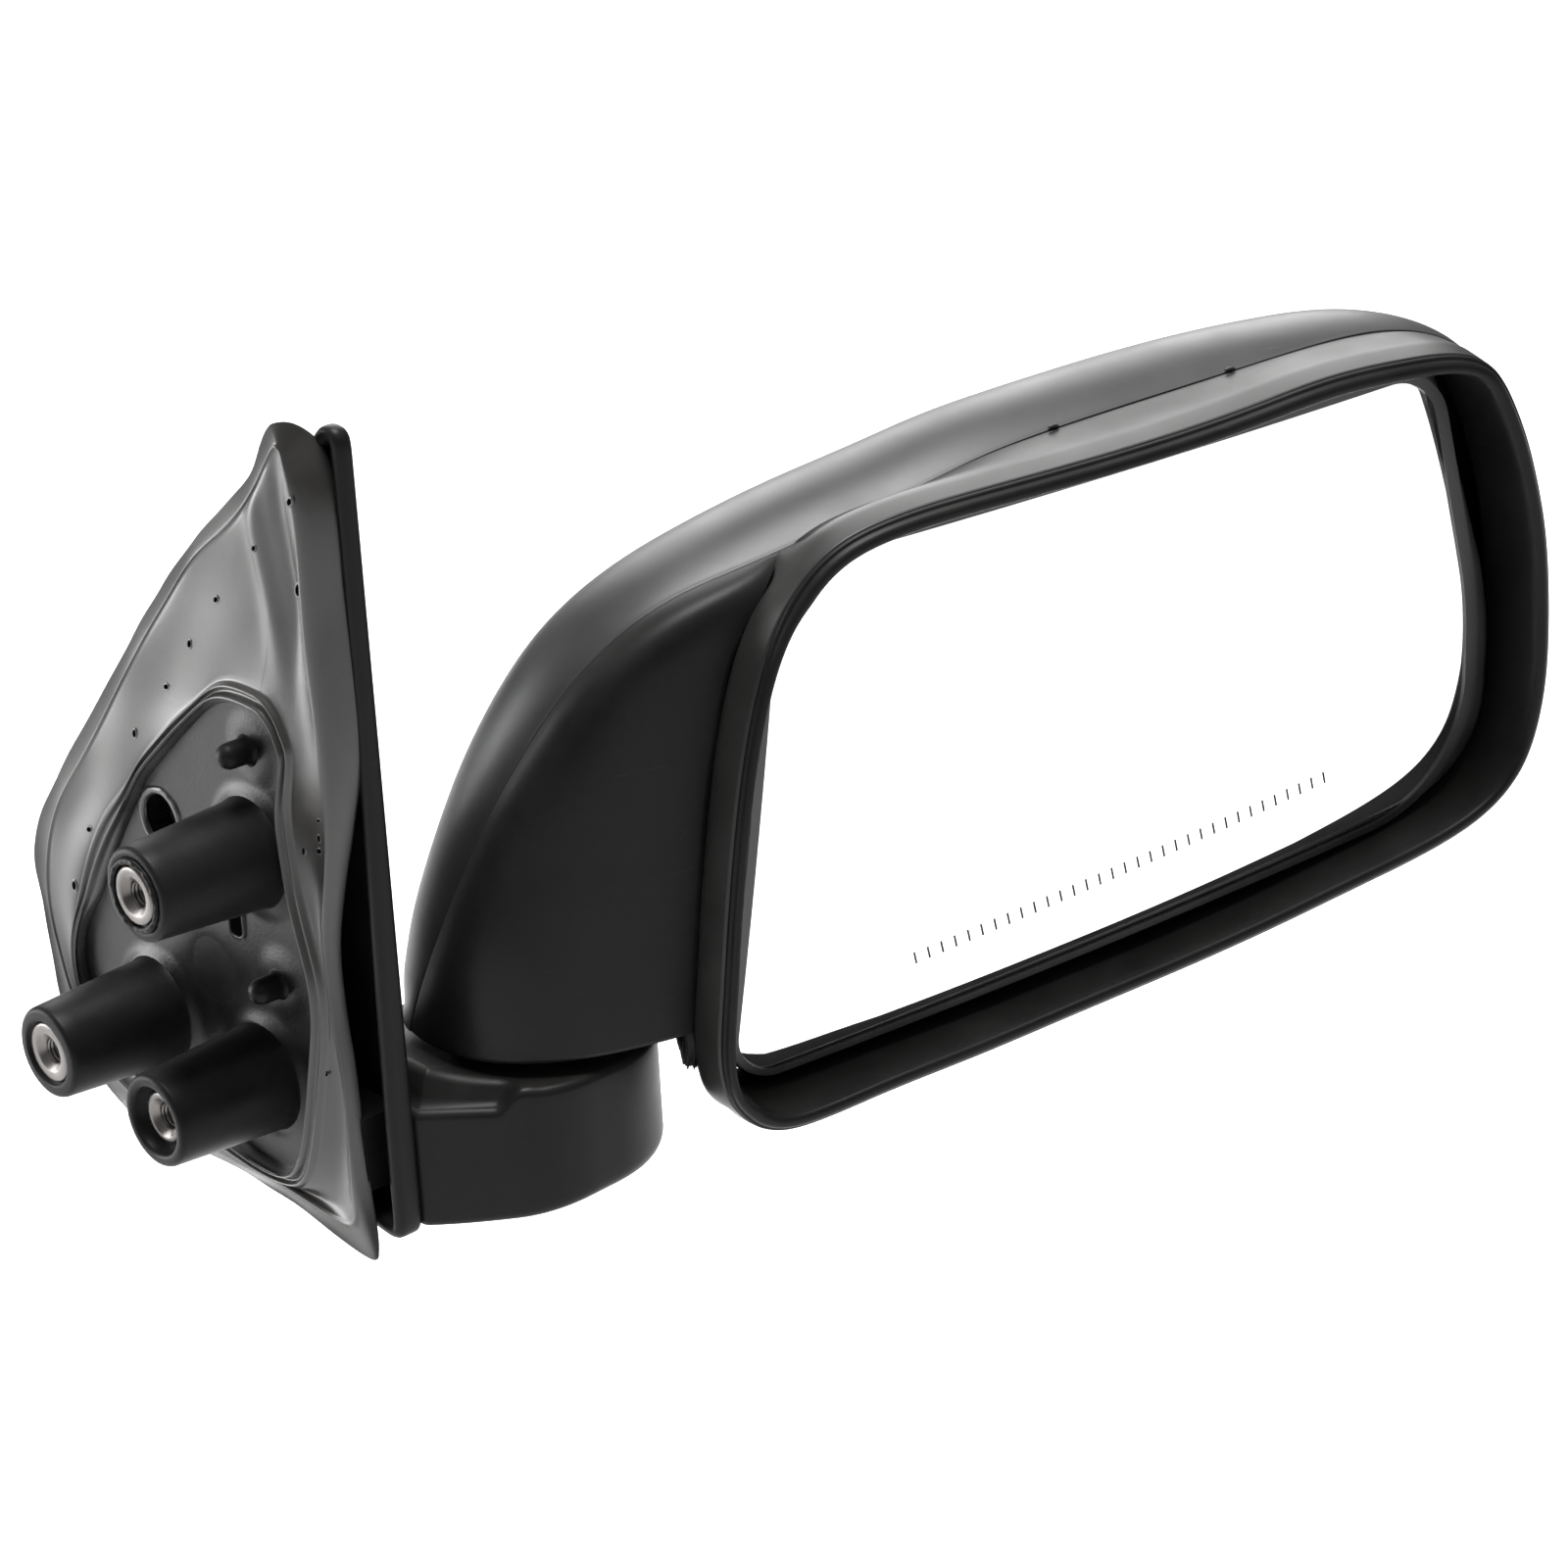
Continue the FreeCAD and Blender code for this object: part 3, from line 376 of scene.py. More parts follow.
SHELL = finish("satin_black_shell", (0.010, 0.010, 0.011), (0.013, 0.013, 0.014), rough=(0.38, 0.45),
               grain=3200, depth=0.05, dust=0.10, specular=0.42)
BAND = finish("satin_black_band", (0.011, 0.0108, 0.0105), (0.015, 0.0145, 0.014), rough=(0.36, 0.43),
              grain=3000, depth=0.06, dust=0.10, specular=0.30)
HOUSING = finish("black_moulded_housing", (0.006, 0.006, 0.006), (0.009, 0.009, 0.009),
                 rough=(0.36, 0.44), grain=2600, depth=0.08, dust=0.12, specular=0.12)
FOOT = finish("black_moulded_foot", (0.006, 0.006, 0.006), (0.009, 0.009, 0.0088), rough=(0.36, 0.44),
              grain=2600, depth=0.08, dust=0.15, specular=0.12)
HOLDER = finish("satin_black_holder", (0.012, 0.012, 0.012), (0.018, 0.018, 0.018), rough=(0.34, 0.42),
                grain=2600, depth=0.05, dust=0.1, specular=0.7)
CASTING = finish("black_coated_casting", (0.004, 0.004, 0.0045), (0.007, 0.007, 0.0075),
                 rough=(0.38, 0.5), grain=1500, coarse=0.8, depth=0.14, dust=0.10, specular=0.10)
PAN = finish("black_coated_pan", (0.004, 0.004, 0.0045), (0.007, 0.007, 0.008), rough=(0.30, 0.42),
             grain=1400, coarse=0.8, depth=0.22, dust=0.25, specular=0.2)
RUBBER = finish("grey_black_rubber", (0.012, 0.0112, 0.0108), (0.026, 0.0242, 0.0232), rough=(0.27, 0.42),
                grain=1900, coarse=0.6, depth=0.10, cloud=28, scratches=0.8, dust=0.2, specular=0.6)
STEEL = finish("zinc_plated_steel", (0.46, 0.45, 0.43), (0.62, 0.61, 0.59), rough=(0.22, 0.38),
               metal=1.0, grain=3500, depth=0.05, dust=0.1)
DARK_STEEL = finish("black_oiled_steel", (0.085, 0.080, 0.076), (0.16, 0.15, 0.145),
                    rough=(0.26, 0.38), metal=0.9, grain=3000, depth=0.08, dust=0.15)
ALLOY = finish("as_cast_alloy", (0.36, 0.36, 0.37), (0.48, 0.48, 0.49), rough=(0.45, 0.6), metal=1.0,
               grain=900, coarse=0.8, depth=0.2)
ACETAL = finish("natural_acetal", (0.66, 0.63, 0.57), (0.72, 0.70, 0.65), rough=(0.38, 0.48),
                grain=2400, depth=0.05)
FOAM = finish("foam_tape", (0.09, 0.09, 0.09), (0.14, 0.14, 0.14), rough=(0.85, 0.95), grain=1200,
              coarse=0.9, depth=0.4, scratches=0.0)
ETCH = finish("etched_mark", (0.012, 0.012, 0.013), (0.030, 0.030, 0.032), rough=(0.7, 0.85),
              grain=6000, depth=0.2, scratches=0.0, dust=0.0)
# Near-black without specular: painted shade standing in for the dark inside of the gasket's pin holes and the
# latch slot.
PAINTED_HOLE_SHADE = finish("painted_hole_shade", (0.001, 0.001, 0.001), (0.002, 0.002, 0.002), rough=(0.9, 1.0), depth=0.02,
              scratches=0.0, dust=0.0, specular=0.0)


def mirror_finish():
    """Silvered glass: a smooth metal with a film of finger haze and a few fine scratches."""
    material = bpy.data.materials.new("silvered_glass")
    material.use_nodes = True
    tree = material.node_tree
    shader = tree.nodes["Principled BSDF"]
    shader.inputs["Metallic"].default_value = 1.0
    handled = use_group(tree, HANDLING, Size=18.0, Scratches=0.15)
    colour = mixed(tree, handled.outputs["Cloud"], (0.965, 0.972, 0.975, 1), (0.955, 0.963, 0.967, 1))
    tree.links.new(colour, shader.inputs["Base Color"])
    haze = spread(tree, handled.outputs["Cloud"], 0.0, 1.0, 0.010, 0.022)
    scratched = math_node(tree, "ADD", haze, math_node(tree, "MULTIPLY", handled.outputs["Scratch"], 0.05))
    tree.links.new(scratched, shader.inputs["Roughness"])
    return material


MIRROR = mirror_finish()

NODE_FINISHES = {
    "base_casting": CASTING, "boss_upper": CASTING, "boss_front": CASTING, "boss_rear": CASTING,
    "locating_pins": CASTING, "insert_upper": DARK_STEEL, "insert_front": DARK_STEEL,
    "insert_rear": DARK_STEEL, "sail_cover": HOUSING, "door_gasket": RUBBER, "foot_cover": FOOT,
    "foot_cap": FOOT, "foot_screws": STEEL, "cover_clips": HOUSING, "pivot_shaft": STEEL,
    "lower_detent": DARK_STEEL, "spring_washer": STEEL, "shaft_nut": STEEL, "upper_detent": DARK_STEEL,
    "detent_balls": STEEL, "fold_spring": DARK_STEEL, "outer_shell": SHELL, "inner_housing": HOUSING,
    "head_frame": ALLOY, "frame_screws": STEEL, "ball_stud": STEEL, "gimbal_bracket": ACETAL,
    "gimbal_ring": ACETAL, "socket_cup": ACETAL, "cup_spring": DARK_STEEL, "glass_holder": HOLDER,
    "adhesive_pad": FOAM, "mirror_glass": MIRROR,
}
for node_name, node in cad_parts.items():
    node.data.materials.clear()
    node.data.materials.append(NODE_FINISHES[node_name])


# ---------------------------------------------------------------- head: rim and band

# The rim's outer edge (across, height), once round from its lower corner by the neck.
RIM_TABLE = np.array([
    (123.4, -68.2), (130.4, -73.2), (139.4, -73.8), (157.6, -71), (182.6, -67.4), (208.5, -63.2),
    (234.9, -58.9), (262.4, -53.8), (287, -48.4), (303.5, -44.6), (313, -41.8), (321.5, -38.2),
    (328.4, -33.4), (333.6, -27.2), (337.6, -17.2), (339.5, -7.4), (340.2, 4), (340, 17),
    (338.6, 33), (336.4, 44), (333.4, 55), (329, 66), (322.6, 75.4), (313.4, 79.2), (302, 80.1),
    (280, 79.5), (257.6, 76.1), (224.6, 72), (187.5, 69.2), (165, 66.6), (153, 62.8), (145.6, 57.4),
    (140.4, 51), (136.4, 43.6), (131.8, 31), (128, 15.8), (125.2, 0), (122.3, -20.5), (119.8, -41.6),
    (119, -56)])


def closed_curve(table, count):
    """A smooth closed curve through a table's points, spread evenly."""
    around = np.arange(-4, len(table) + 5)
    points = table[around % len(table)]
    run = np.concatenate([[0], np.cumsum(np.linalg.norm(np.diff(points, axis=0), axis=1))])
    at = np.linspace(run[4], run[4 + len(table)], 4 * count, endpoint=False)
    return even_loop(spline(run, points, at), count)


RIM = soften(closed_curve(RIM_TABLE, 520), 2.0)
RIM_OUT = outward(RIM)

# The seam between the shell and the rear parts, once round: place along it, then across, depth,
# height, and how far the shell swells beyond it.
SEAM_TABLE = np.array([
    (0.00, 61, 3, -49, 0), (0.10, 62.6, -3.5, -35, 0.2), (0.17, 65.5, -8, -23, 0.9),
    (0.26, 72.5, -11, -6, 1.6), (0.33, 79.5, -13.4, 8, 2.2), (0.41, 90, -16.8, 25, 2.8),
    (0.48, 102, -19.3, 39, 3.0), (0.54, 121, -21, 50.7, 3.4), (0.58, 140, -22, 55.8, 4.9),
    (0.63, 159, -22, 60.2, 5.6), (0.68, 181.6, -22, 65.6, 5.4), (0.73, 199, -22, 70.2, 5),
    (0.78, 218, -22, 73.5, 4.7), (0.83, 237, -22, 75.9, 4.6), (0.90, 264.4, -22, 79, 4.0),
    (0.95, 286.8, -22, 81.4, 2.4), (1.00, 302.8, -22, 81.9, 1.0), (1.2, 313.6, -22, 80.4, 0),
    (1.35, 322.4, -22, 77.2, -0.4), (1.45, 329.6, -22, 72, 0), (1.55, 335.5, -22, 62, 2.2),
    (1.65, 341, -22, 42, 2), (1.75, 342.6, -22, 22, 2), (1.83, 341, -22, 3, 2),
    (1.92, 335.6, -22, -15, 2), (2.0, 325, -22, -29, 2), (2.05, 308, -22, -41.5, 2),
    (2.1, 287, -22, -49.2, 2), (2.17, 255, -22, -56.4, 2), (2.22, 231, -22, -60.9, 2),
    (2.27, 208, -22, -64.7, 2), (2.32, 182, -22, -68.8, 2), (2.38, 160, -22, -71.3, 1.5),
    (2.45, 145, -22, -71.5, 1), (2.55, 133, -20, -66, 0.6), (2.66, 124, -15, -57.5, 0.3),
    (2.8, 116, -7, -50.6, 0), (2.92, 111, 0, -49, 0), (3.0, 106, 3, -49, 0)])
# The line in the middle of the shell's front that both its halves run to: place, across, depth, height.
SPINE_TABLE = np.array([
    (0, 87, 26.3, -49), (0.12, 91, 27, -35), (0.3, 104, 30, -12), (0.44, 125, 33.5, 4),
    (0.56, 152, 36.5, 14), (0.75, 212, 39, 18), (0.9, 258, 39, 20), (1.0, 284, 37.5, 20)])


def along_table(table, place):
    """Reads a table as a smooth curve: its first column is the place, and the spline itself runs on
    the distance between the points, so that uneven places leave no kink."""
    run = np.concatenate([[0], np.cumsum(np.linalg.norm(np.diff(table[:, 1:4], axis=0), axis=1))])
    return spline(run, table[:, 1:], np.interp(place, table[:, 0], run))


def seam_at(place):
    """Across, depth, height and swell of the seam; past place 3 it runs straight over the neck's floor."""
    around = along_table(SEAM_TABLE, np.minimum(place, 3))
    floor = np.column_stack([np.interp(place, [3, 3.97, 4], [106, 62, 61]), np.full(len(place), 3.0),
                             np.full(len(place), NECK_FLOOR), np.zeros(len(place))])
    return np.where((place > 3)[:, None], floor, around)


def spine_at(place):
    """Point of the spine that belongs to a place on the seam: out along it, round its end, and back."""
    back = np.where(place <= 2, 1, np.clip(3 - place, 0, 1))
    return along_table(SPINE_TABLE, np.where(place <= 1, place, back))


def band_offset(loop, normals):
    """How far outside the rim the seam passes, measured along the rim's own outward direction;
    on the neck side, where no seam runs beside the rim, the band dives inwards."""
    place = np.linspace(0.59, 2.5, 900)
    seam = seam_at(place)[:, [0, 2]]
    across = seam[None] - loop[:, None]
    ahead = np.abs((across * np.column_stack([-normals[:, 1], normals[:, 0]])[:, None]).sum(-1))
    out = (across * normals[:, None]).sum(-1)
    ahead[np.abs(out) > 14] = 1e3
    nearest = ahead.argmin(1)
    rows = np.arange(len(loop))
    found = ahead[rows, nearest] < 1.5
    return soften(np.where(found, out[rows, nearest], -4.5), 2.0)


def rim_and_band():
    """Two closed profiles carried round the rim.  The satin band runs back from the seam to the edge;
    the matt lip turns over the edge, past a fine groove, and down the recess wall to behind the
    glass.  Each profile point is a distance outside the rim outline and a depth."""
    seam_out = band_offset(RIM, RIM_OUT)
    neck_side = smooth_step(0.75, 0.97, -RIM_OUT[:, 0])
    top_side = smooth_step(0.75, 0.98, RIM_OUT[:, 1])
    swell = 2.5 * neck_side + 1.1 * top_side + 1.0 * smooth_step(0.2, 0.8, RIM_OUT[:, 0])
    swell += 1.2 * smooth_step(0.3, 0.9, -RIM_OUT[:, 1])
    recess = 4.5 + 1.5 * np.clip(RIM_OUT[:, 0], 0, 1) ** 2 + 0.8 * neck_side
    lip_share = 1 - 0.35 * neck_side
    one = np.ones(len(RIM))

    def ring(name, profile, slot, material, replaces=()):
        grid = np.stack([in_head(RIM[:, 0] + RIM_OUT[:, 0] * out, depth, RIM[:, 1] + RIM_OUT[:, 1] * out)
                         for out, depth in profile])
        piece(name, [(grid, True, True)], "head", material, replaces=replaces)

    band = []
    for share in np.linspace(0, 1, 15):
        depth = SEAM_DEPTH + 1.2 + share * (RIM_DEPTH + 11.2 - SEAM_DEPTH - 1.2)
        bend = smooth_step(-0.05, 1.0, share)
        band.append(((seam_out - 0.35) * (1 - bend) + swell * bend, depth * one))
    for share in np.linspace(0.12, 1, 8):
        band.append((swell * (1 - share ** 1.3) + 0.1, (RIM_DEPTH + 11.2 - share * 8.4) * one))
    back = [(-1.4 * one, (RIM_DEPTH + 3.2) * one), (swell - 1.8, (RIM_DEPTH + 11.2) * one),
            (seam_out - 2.2, (SEAM_DEPTH + 1.2) * one)]
    ring("rim_band", band + back, "satin_shell", BAND)

    lip = [(0.02 * one, (RIM_DEPTH + 2.9) * one)]
    for out, depth in ((-0.15, 2.1), (-0.5, 1.75), (-0.85, 1.8), (-1.0, 1.35), (-1.25, 0.8), (-1.7, 0.3),
                       (-2.3, 0.06), (-3.1, 0.0), (-3.7, 0.25), (-4.1, 0.8), (-4.3, 1.6)):
        lip.append((out * lip_share, (RIM_DEPTH + depth) * one))
    for share in np.linspace(0.1, 1, 12):
        lip.append((-4.3 * lip_share - share ** 1.4 * (recess - 4.3 * lip_share),
                    (RIM_DEPTH + 1.8 + share * 20.0) * one))
    back = [(-recess + 1.4, (RIM_DEPTH + 22.0) * one), (-1.9 * one, (RIM_DEPTH + 8.0) * one),
            (-1.2 * one, (RIM_DEPTH + 3.6) * one)]
    ring("rim_lip", lip + back, "black_plastic", HOUSING, replaces=("inner_housing",))


def neck_panel():
    """Matt panel from the shell's parting line round to the rim, as a cubic arc at every level,
    closed below by the neck's flat floor."""
    place = np.linspace(0, 0.60, 90)
    start = seam_at(place)[:, :3]
    end = spline([0, 0.1, 0.17, 0.26, 0.33, 0.41, 0.48, 0.54, 0.575, 0.60],
                 [(119, RING_BACK, -49), (119.6, RING_BACK, -36), (120.9, RING_BACK, -26),
                  (123.2, RING_BACK, -6), (125.7, RING_BACK, 11), (128.8, RING_BACK, 26.5),
                  (132.4, RING_BACK, 39), (137.8, -31.0, 47.6), (143.2, -28.0, 53.6),
                  (148.6, -22.4, 57.8)], place)
    fall = np.maximum(start[:, 1] - end[:, 1], 0)
    reach = end[:, 0] - start[:, 0]
    low = 1 - smooth_step(0, 0.3, place)
    lean = np.column_stack([0.05 + 0.05 * low, -np.ones(len(place)), np.zeros(len(place))])
    first = start + lean * ((0.76 - 0.12 * low) * fall)[:, None]
    second = end - np.column_stack([0.79 * reach, 5 * low, 0.55 * (end - start)[:, 2]])
    rows = []
    for share in np.linspace(0, 1, 44):
        rest = 1 - share
        rows.append(rest ** 3 * start + 3 * rest ** 2 * share * first + 3 * rest * share ** 2 * second
                    + share ** 3 * end)
    panel = np.stack(rows)
    inset = np.zeros_like(panel[0])
    inset[:, 1] = 1.4
    panel = np.concatenate([panel[:1] + inset, panel])
    lift = 0.25 * (1 - smooth_step(0, 0.12, np.linspace(0, 1, len(panel))))
    centre = np.array([100.0, 0.0, 10.0])
    toward = centre - panel
    toward /= np.linalg.norm(toward, axis=2)[..., None]
    panel = panel + toward * lift[:, None, None]
    bottom = panel[:, 0]
    back = np.column_stack([np.clip(bottom[:, 0], 61, None), np.full(len(bottom), 3.4), bottom[:, 2]])
    floor = np.stack([bottom + (back - bottom) * share for share in np.linspace(0, 1, 8)])
    shapes = [(in_head(*np.moveaxis(panel, -1, 0)), False, False),
              (in_head(*np.moveaxis(floor, -1, 0)), False, False)]
    return piece("neck_panel", shapes, "head", HOUSING, wall=1.6)


def shell_skin():
    """The satin front shell: from every point of the seam a cubic arc swells forwards and over to
    the spine, where the upper and the lower half meet."""
    upper = np.concatenate([np.linspace(0, 0.5, 70), np.linspace(0.5, 1, 110)[1:]])
    place = np.concatenate([upper, np.linspace(1, 2, 70)[1:-1], 3 - upper[::-1],
                            np.linspace(3, 4, 26)[1:-1]])
    seam = seam_at(place)
    spine = spine_at(place)
    foot = seam[:, :3]
    swell = seam[:, 3]
    side = foot - spine
    side[:, 1] = 0
    length = np.maximum(np.linalg.norm(side, axis=1), 1e-6)
    outwards = side / length[:, None]
    forwards = np.array([0.0, 1.0, 0.0])
    rise = (spine - foot)[:, 1]
    round_off = 0.55
    push = (0.0512 * length + swell) / 0.384
    push = np.where(place > 2.9, 0, push) * smooth_step(0.0, 0.1, place)
    push += (1 - smooth_step(0.0, 0.1, place)) * 0.3
    first = foot + forwards * (round_off * rise)[:, None] + outwards * push[:, None]
    second = spine + side * round_off
    lip = foot - outwards * 0.3
    rows = [lip, foot - outwards * 0.08 + forwards * 0.15, foot + forwards * 0.45]
    for share in np.linspace(0, 1, 72)[1:] ** 1.1:
        rest = 1 - share
        begin = foot + forwards * 0.45
        rows.append(rest ** 3 * begin + 3 * rest ** 2 * share * first + 3 * rest * share ** 2 * second
                    + share ** 3 * spine)
    grid = np.stack(rows)
    return piece("shell_skin", [(in_head(*np.moveaxis(grid, -1, 0)), False, True)], "head",
                 SHELL, replaces=("outer_shell",), wall=2.5)


def flash_tab():
    """Torn scrap of moulding flash hanging below the neck beside the rim: a thin sheet between a
    level upper edge and a ragged lower one."""
    across = np.linspace(110.4, 117.4, 40)
    ragged = 0.5 * np.sin(across * 5.1) + 0.35 * np.sin(across * 11.3)
    lower = -49.0 - 8.6 * smooth_step(112.0, 115.2, across) + ragged * smooth_step(110, 112, across)
    rows = []
    for share in np.linspace(0, 1, 12):
        depth = -30.6 - 0.8 * share * np.sin(across * 1.3) - 0.4 * share
        height = -47.4 + (lower + 47.4) * share
        rows.append(in_head(across + 0.6 * math.sin(4 * share) * share, depth, height))
    piece("neck_flash_tab", [(np.stack(rows), False, False)], "head", HOUSING, wall=0.7)


def seam_nibs():
    """Two tiny moulding nibs on the seam: low humps on the shell's edge."""
    shapes = []
    for place in (0.78, 0.90):
        spot = seam_at(np.array([place]))[0]
        angle = np.linspace(0, 2 * math.pi, 16, endpoint=False)
        rows = []
        for turn in np.linspace(0, math.pi / 2, 6):
            reach = math.cos(turn) + 0.01
            rows.append(in_head(spot[0] + 1.5 * reach * np.cos(angle), spot[1] + 0.5 * reach * np.sin(angle),
                                spot[2] + 0.2 + 0.7 * math.sin(turn) + 0 * angle))
        shapes.append((np.stack(rows), False, True))
    piece("seam_nibs", shapes, "head", SHELL)


rim_and_band()
neck_panel()
shell_skin()
flash_tab()
seam_nibs()


# ---------------------------------------------------------------- door side

BOSSES = {"upper": (0.0, 0.0), "front": (44.0, -52.0), "rear": (3.0, -56.0)}
PINS = [(-2.0, 25.0), (-5.0, -31.0)]

# Once round the gasket from its top: inner bead (y, z), edge of the main face (x, y, z), and outer
# edge (x, y, z).  Along the front and the foot the outer part is a flat lip; along the rear it is a
# skirt that turns back to the sail cover.
GASKET_STATIONS = np.array([
    (-7, 35.8, 31, -25.2, 99, 31, -24.4, 104.3), (3.5, 35.5, 31, -20.4, 94, 31, -17.6, 94.6),
    (12.7, 31, 31, -12.7, 84.5, 31, -9, 85.6), (19, 26, 31, -2.4, 75.6, 31, 2.6, 76.6),
    (25.3, 20.8, 31, 9, 67.4, 31, 13, 67.2), (33, 14, 31, 20, 56, 31, 24, 55.8),
    (39.9, 7.3, 31, 31, 44, 31, 35.3, 44), (46, -1, 31, 45, 27.4, 31, 49.3, 27.4),
    (52, -9, 31, 61, 8, 31, 66, 8.6), (57, -16, 31, 73, -5.5, 31, 78.4, -6),
    (61.5, -23, 31, 81, -20, 31, 86.2, -19), (66, -30, 31, 84.2, -35, 31, 87.6, -32),
    (71, -37, 31, 82.5, -47, 31, 86, -46), (74.5, -46, 31, 79, -58, 31, 83.4, -60),
    (73, -56, 31, 72, -69, 31, 76, -73), (64, -64, 31, 60, -77, 31, 62, -82.4),
    (45, -71, 31, 44, -79.5, 31, 44, -84), (25, -76, 31, 22, -81, 31, 22, -84),
    (8, -79.2, 31, 4, -82, 31, 4, -84.6), (-2, -78.5, 31, -12, -83.4, 31, -13, -87),
    (-7, -74, 31, -24, -83.4, 31.6, -32, -91), (-11, -65, 31, -26.4, -74, 34.4, -30, -80),
    (-15, -49, 31, -27, -52, 34.6, -28, -52), (-18.4, -33, 31, -25.4, -35, 34.6, -26.6, -35),
    (-17.3, -21, 31, -24.6, -18, 34.8, -26.2, -18), (-14, -8, 31, -26.3, -4, 35.4, -28.6, -3),
    (-12.4, 4, 31, -28.8, 9, 36.8, -31.4, 10), (-12.6, 14, 31, -29.8, 22, 38.6, -34, 24),
    (-15.8, 24, 31, -29.3, 35, 39.8, -35, 38), (-16, 28, 31, -28.4, 47, 40, -34.6, 55),
    (-14.6, 31.4, 31, -28, 60, 40, -34.2, 70), (-12.4, 34, 31, -28.6, 76, 40, -34, 84),
    (-10.5, 35.2, 31, -28.2, 88, 40, -31.6, 96), (-9, 35.6, 31, -27, 95, 37, -27.6, 102.6)])


def gasket_surface():
    """Rings from the bead round the opening out to the edge.  The bead is two ridges with a groove
    between them; the main face is dished and has soft dents; a fine raised line runs where the lip
    or the skirt begins; the lip waves a little, and the skirt is a quadratic arc turning back."""
    count = len(GASKET_STATIONS)
    knots = np.arange(-4, count + 5)
    around = np.linspace(0, count, 560, endpoint=False)
    ring = spline(knots, GASKET_STATIONS[knots % count], around)
    bead = np.column_stack([np.full(len(ring), 31.0), ring[:, :2]])
    face, edge = ring[:, 2:5], ring[:, 5:8]
    rear = smooth_step(31.4, 34.4, edge[:, 0])
    span = np.linalg.norm(face - bead, axis=1)
    along = (face - bead) / span[:, None]
    rows = []

    def ridge(reach):
        return -1.9 * hump(reach, 1.5, 0.85) - 1.5 * hump(reach, 4.5, 0.85)

    def dents(points, share):
        y, z = points[:, 1], points[:, 2]
        soft = 0.8 * np.sin(y / 13 + z / 19 + 0.6) + 0.5 * np.sin(z / 9 - y / 15)
        soft += 0.3 * np.sin(y / 5 + z / 11)
        fold = -1.5 * hump(y + 19 - 0.05 * z, 0, 3.2) * smooth_step(38, 60, z)
        valley = 1.2 * hump(y + 24, 0, 2.6) * smooth_step(45, 70, z)
        return (soft + fold + valley) * np.sin(math.pi * np.clip(share, 0, 1)) ** 0.6

    rows.append(bead + along * -1.2 + np.array([2.6, 0, 0]))
    rows.append(bead + along * -1.0 + np.array([1.2, 0, 0]))
    for reach in np.linspace(0, 6.2, 22):
        rows.append(bead + along * reach + np.outer(ridge(reach) * np.ones(len(ring)), (1, 0, 0)))
    for share in np.linspace(0.03, 1, 40):
        reach = 6.2 + share * (span - 6.2)
        place = bead + along * reach[:, None]
        lift = dents(place, share) + 0.9 * math.sin(math.pi * share)
        rows.append(place + np.outer(lift, (1, 0, 0)))
    whole = np.ones(len(ring))
    bend = face + (edge - face) * np.column_stack([0.06 * whole, 0.5 + 0.3 * rear, 0.5 * whole])
    for share in np.linspace(0.06, 1, 24):
        rest = 1 - share
        place = rest ** 2 * face + 2 * rest * share * bend + share ** 2 * edge
        line = -0.5 * hump(share, 0.14, 0.07) * (1 - rear)
        wave = share * (0.28 * np.sin(around * 2.3) + 0.12 * np.sin(around * 5.1 + 1)) * (1 - 0.6 * rear)
        curl = -0.8 * share ** 3 * (1 - rear)
        rows.append(place + np.outer(line + wave + curl, (1, 0, 0)))
    return np.stack(rows)


def gasket():
    """The rubber gasket as one ring with a wall."""
    grid = gasket_surface()
    obj = piece("gasket", [(grid, False, True)], "base", RUBBER,
                replaces=("door_gasket",), wall=1.5)
    return grid


PINHOLES = [(-28.2, 88.1, 1.0), (-14.9, 75.2, 0.8), (-27.0, 67.9, 1.6), (2.9, 59.2, 0.9), (14.4, 46.3, 1.0),
            (26.5, 33, 0.9), (39.8, 18.7, 1.0), (63.7, -11.5, 1.0), (72.2, -28, 1.2), (-27.4, 15.1, 0.6),
            (-26.6, 10.6, 0.8), (-26, 7.4, 0.9), (-20.2, 5.8, 0.8), (-21.4, -47.7, 0.7)]


def pinholes(surface):
    """Moulding pin marks in the gasket: each a small oval well with a swollen edge, laid on the
    nearest point of the surface and along its slope.  Each shallow well is painted near-black:
    painted shade for the dark inside of a deep hole."""
    flat = surface.reshape(-1, 3)
    wells, rims = [], []
    angle = np.linspace(0, 2 * math.pi, 20, endpoint=False)
    for turn, (y, z, radius) in enumerate(PINHOLES):
        near = np.hypot(flat[:, 1] - y, flat[:, 2] - z) + 100 * (flat[:, 0] > 34)
        x = flat[near.argmin(), 0]
        lean = 0.7 + 0.5 * math.sin(3 * turn)
        across, up = np.cos(angle) * radius * 0.62, np.sin(angle) * radius
        dy = across * math.cos(lean) - up * math.sin(lean)
        dz = across * math.sin(lean) + up * math.cos(lean)
        rim = [np.column_stack([x + lift + 0 * dy, y + dy * size, z + dz * size])
               for size, lift in ((1.7, 0.15), (1.4, -0.12), (1.15, -0.22), (0.98, -0.16))]
        well = [np.column_stack([x + lift + 0 * dy, y + dy * size, z + dz * size])
                for size, lift in ((1.02, -0.17), (0.7, -0.10), (0.02, -0.07))]
        rims.append((np.stack(rim), False, True))
        wells.append((np.stack(well), False, True))
    piece("gasket_mark_rims", rims, "base", RUBBER)
    # The wells carry painted shade: near-black where a deep hole would look dark inside.
    piece("gasket_mark_painted_shade_wells", wells, "base", PAINTED_HOLE_SHADE)


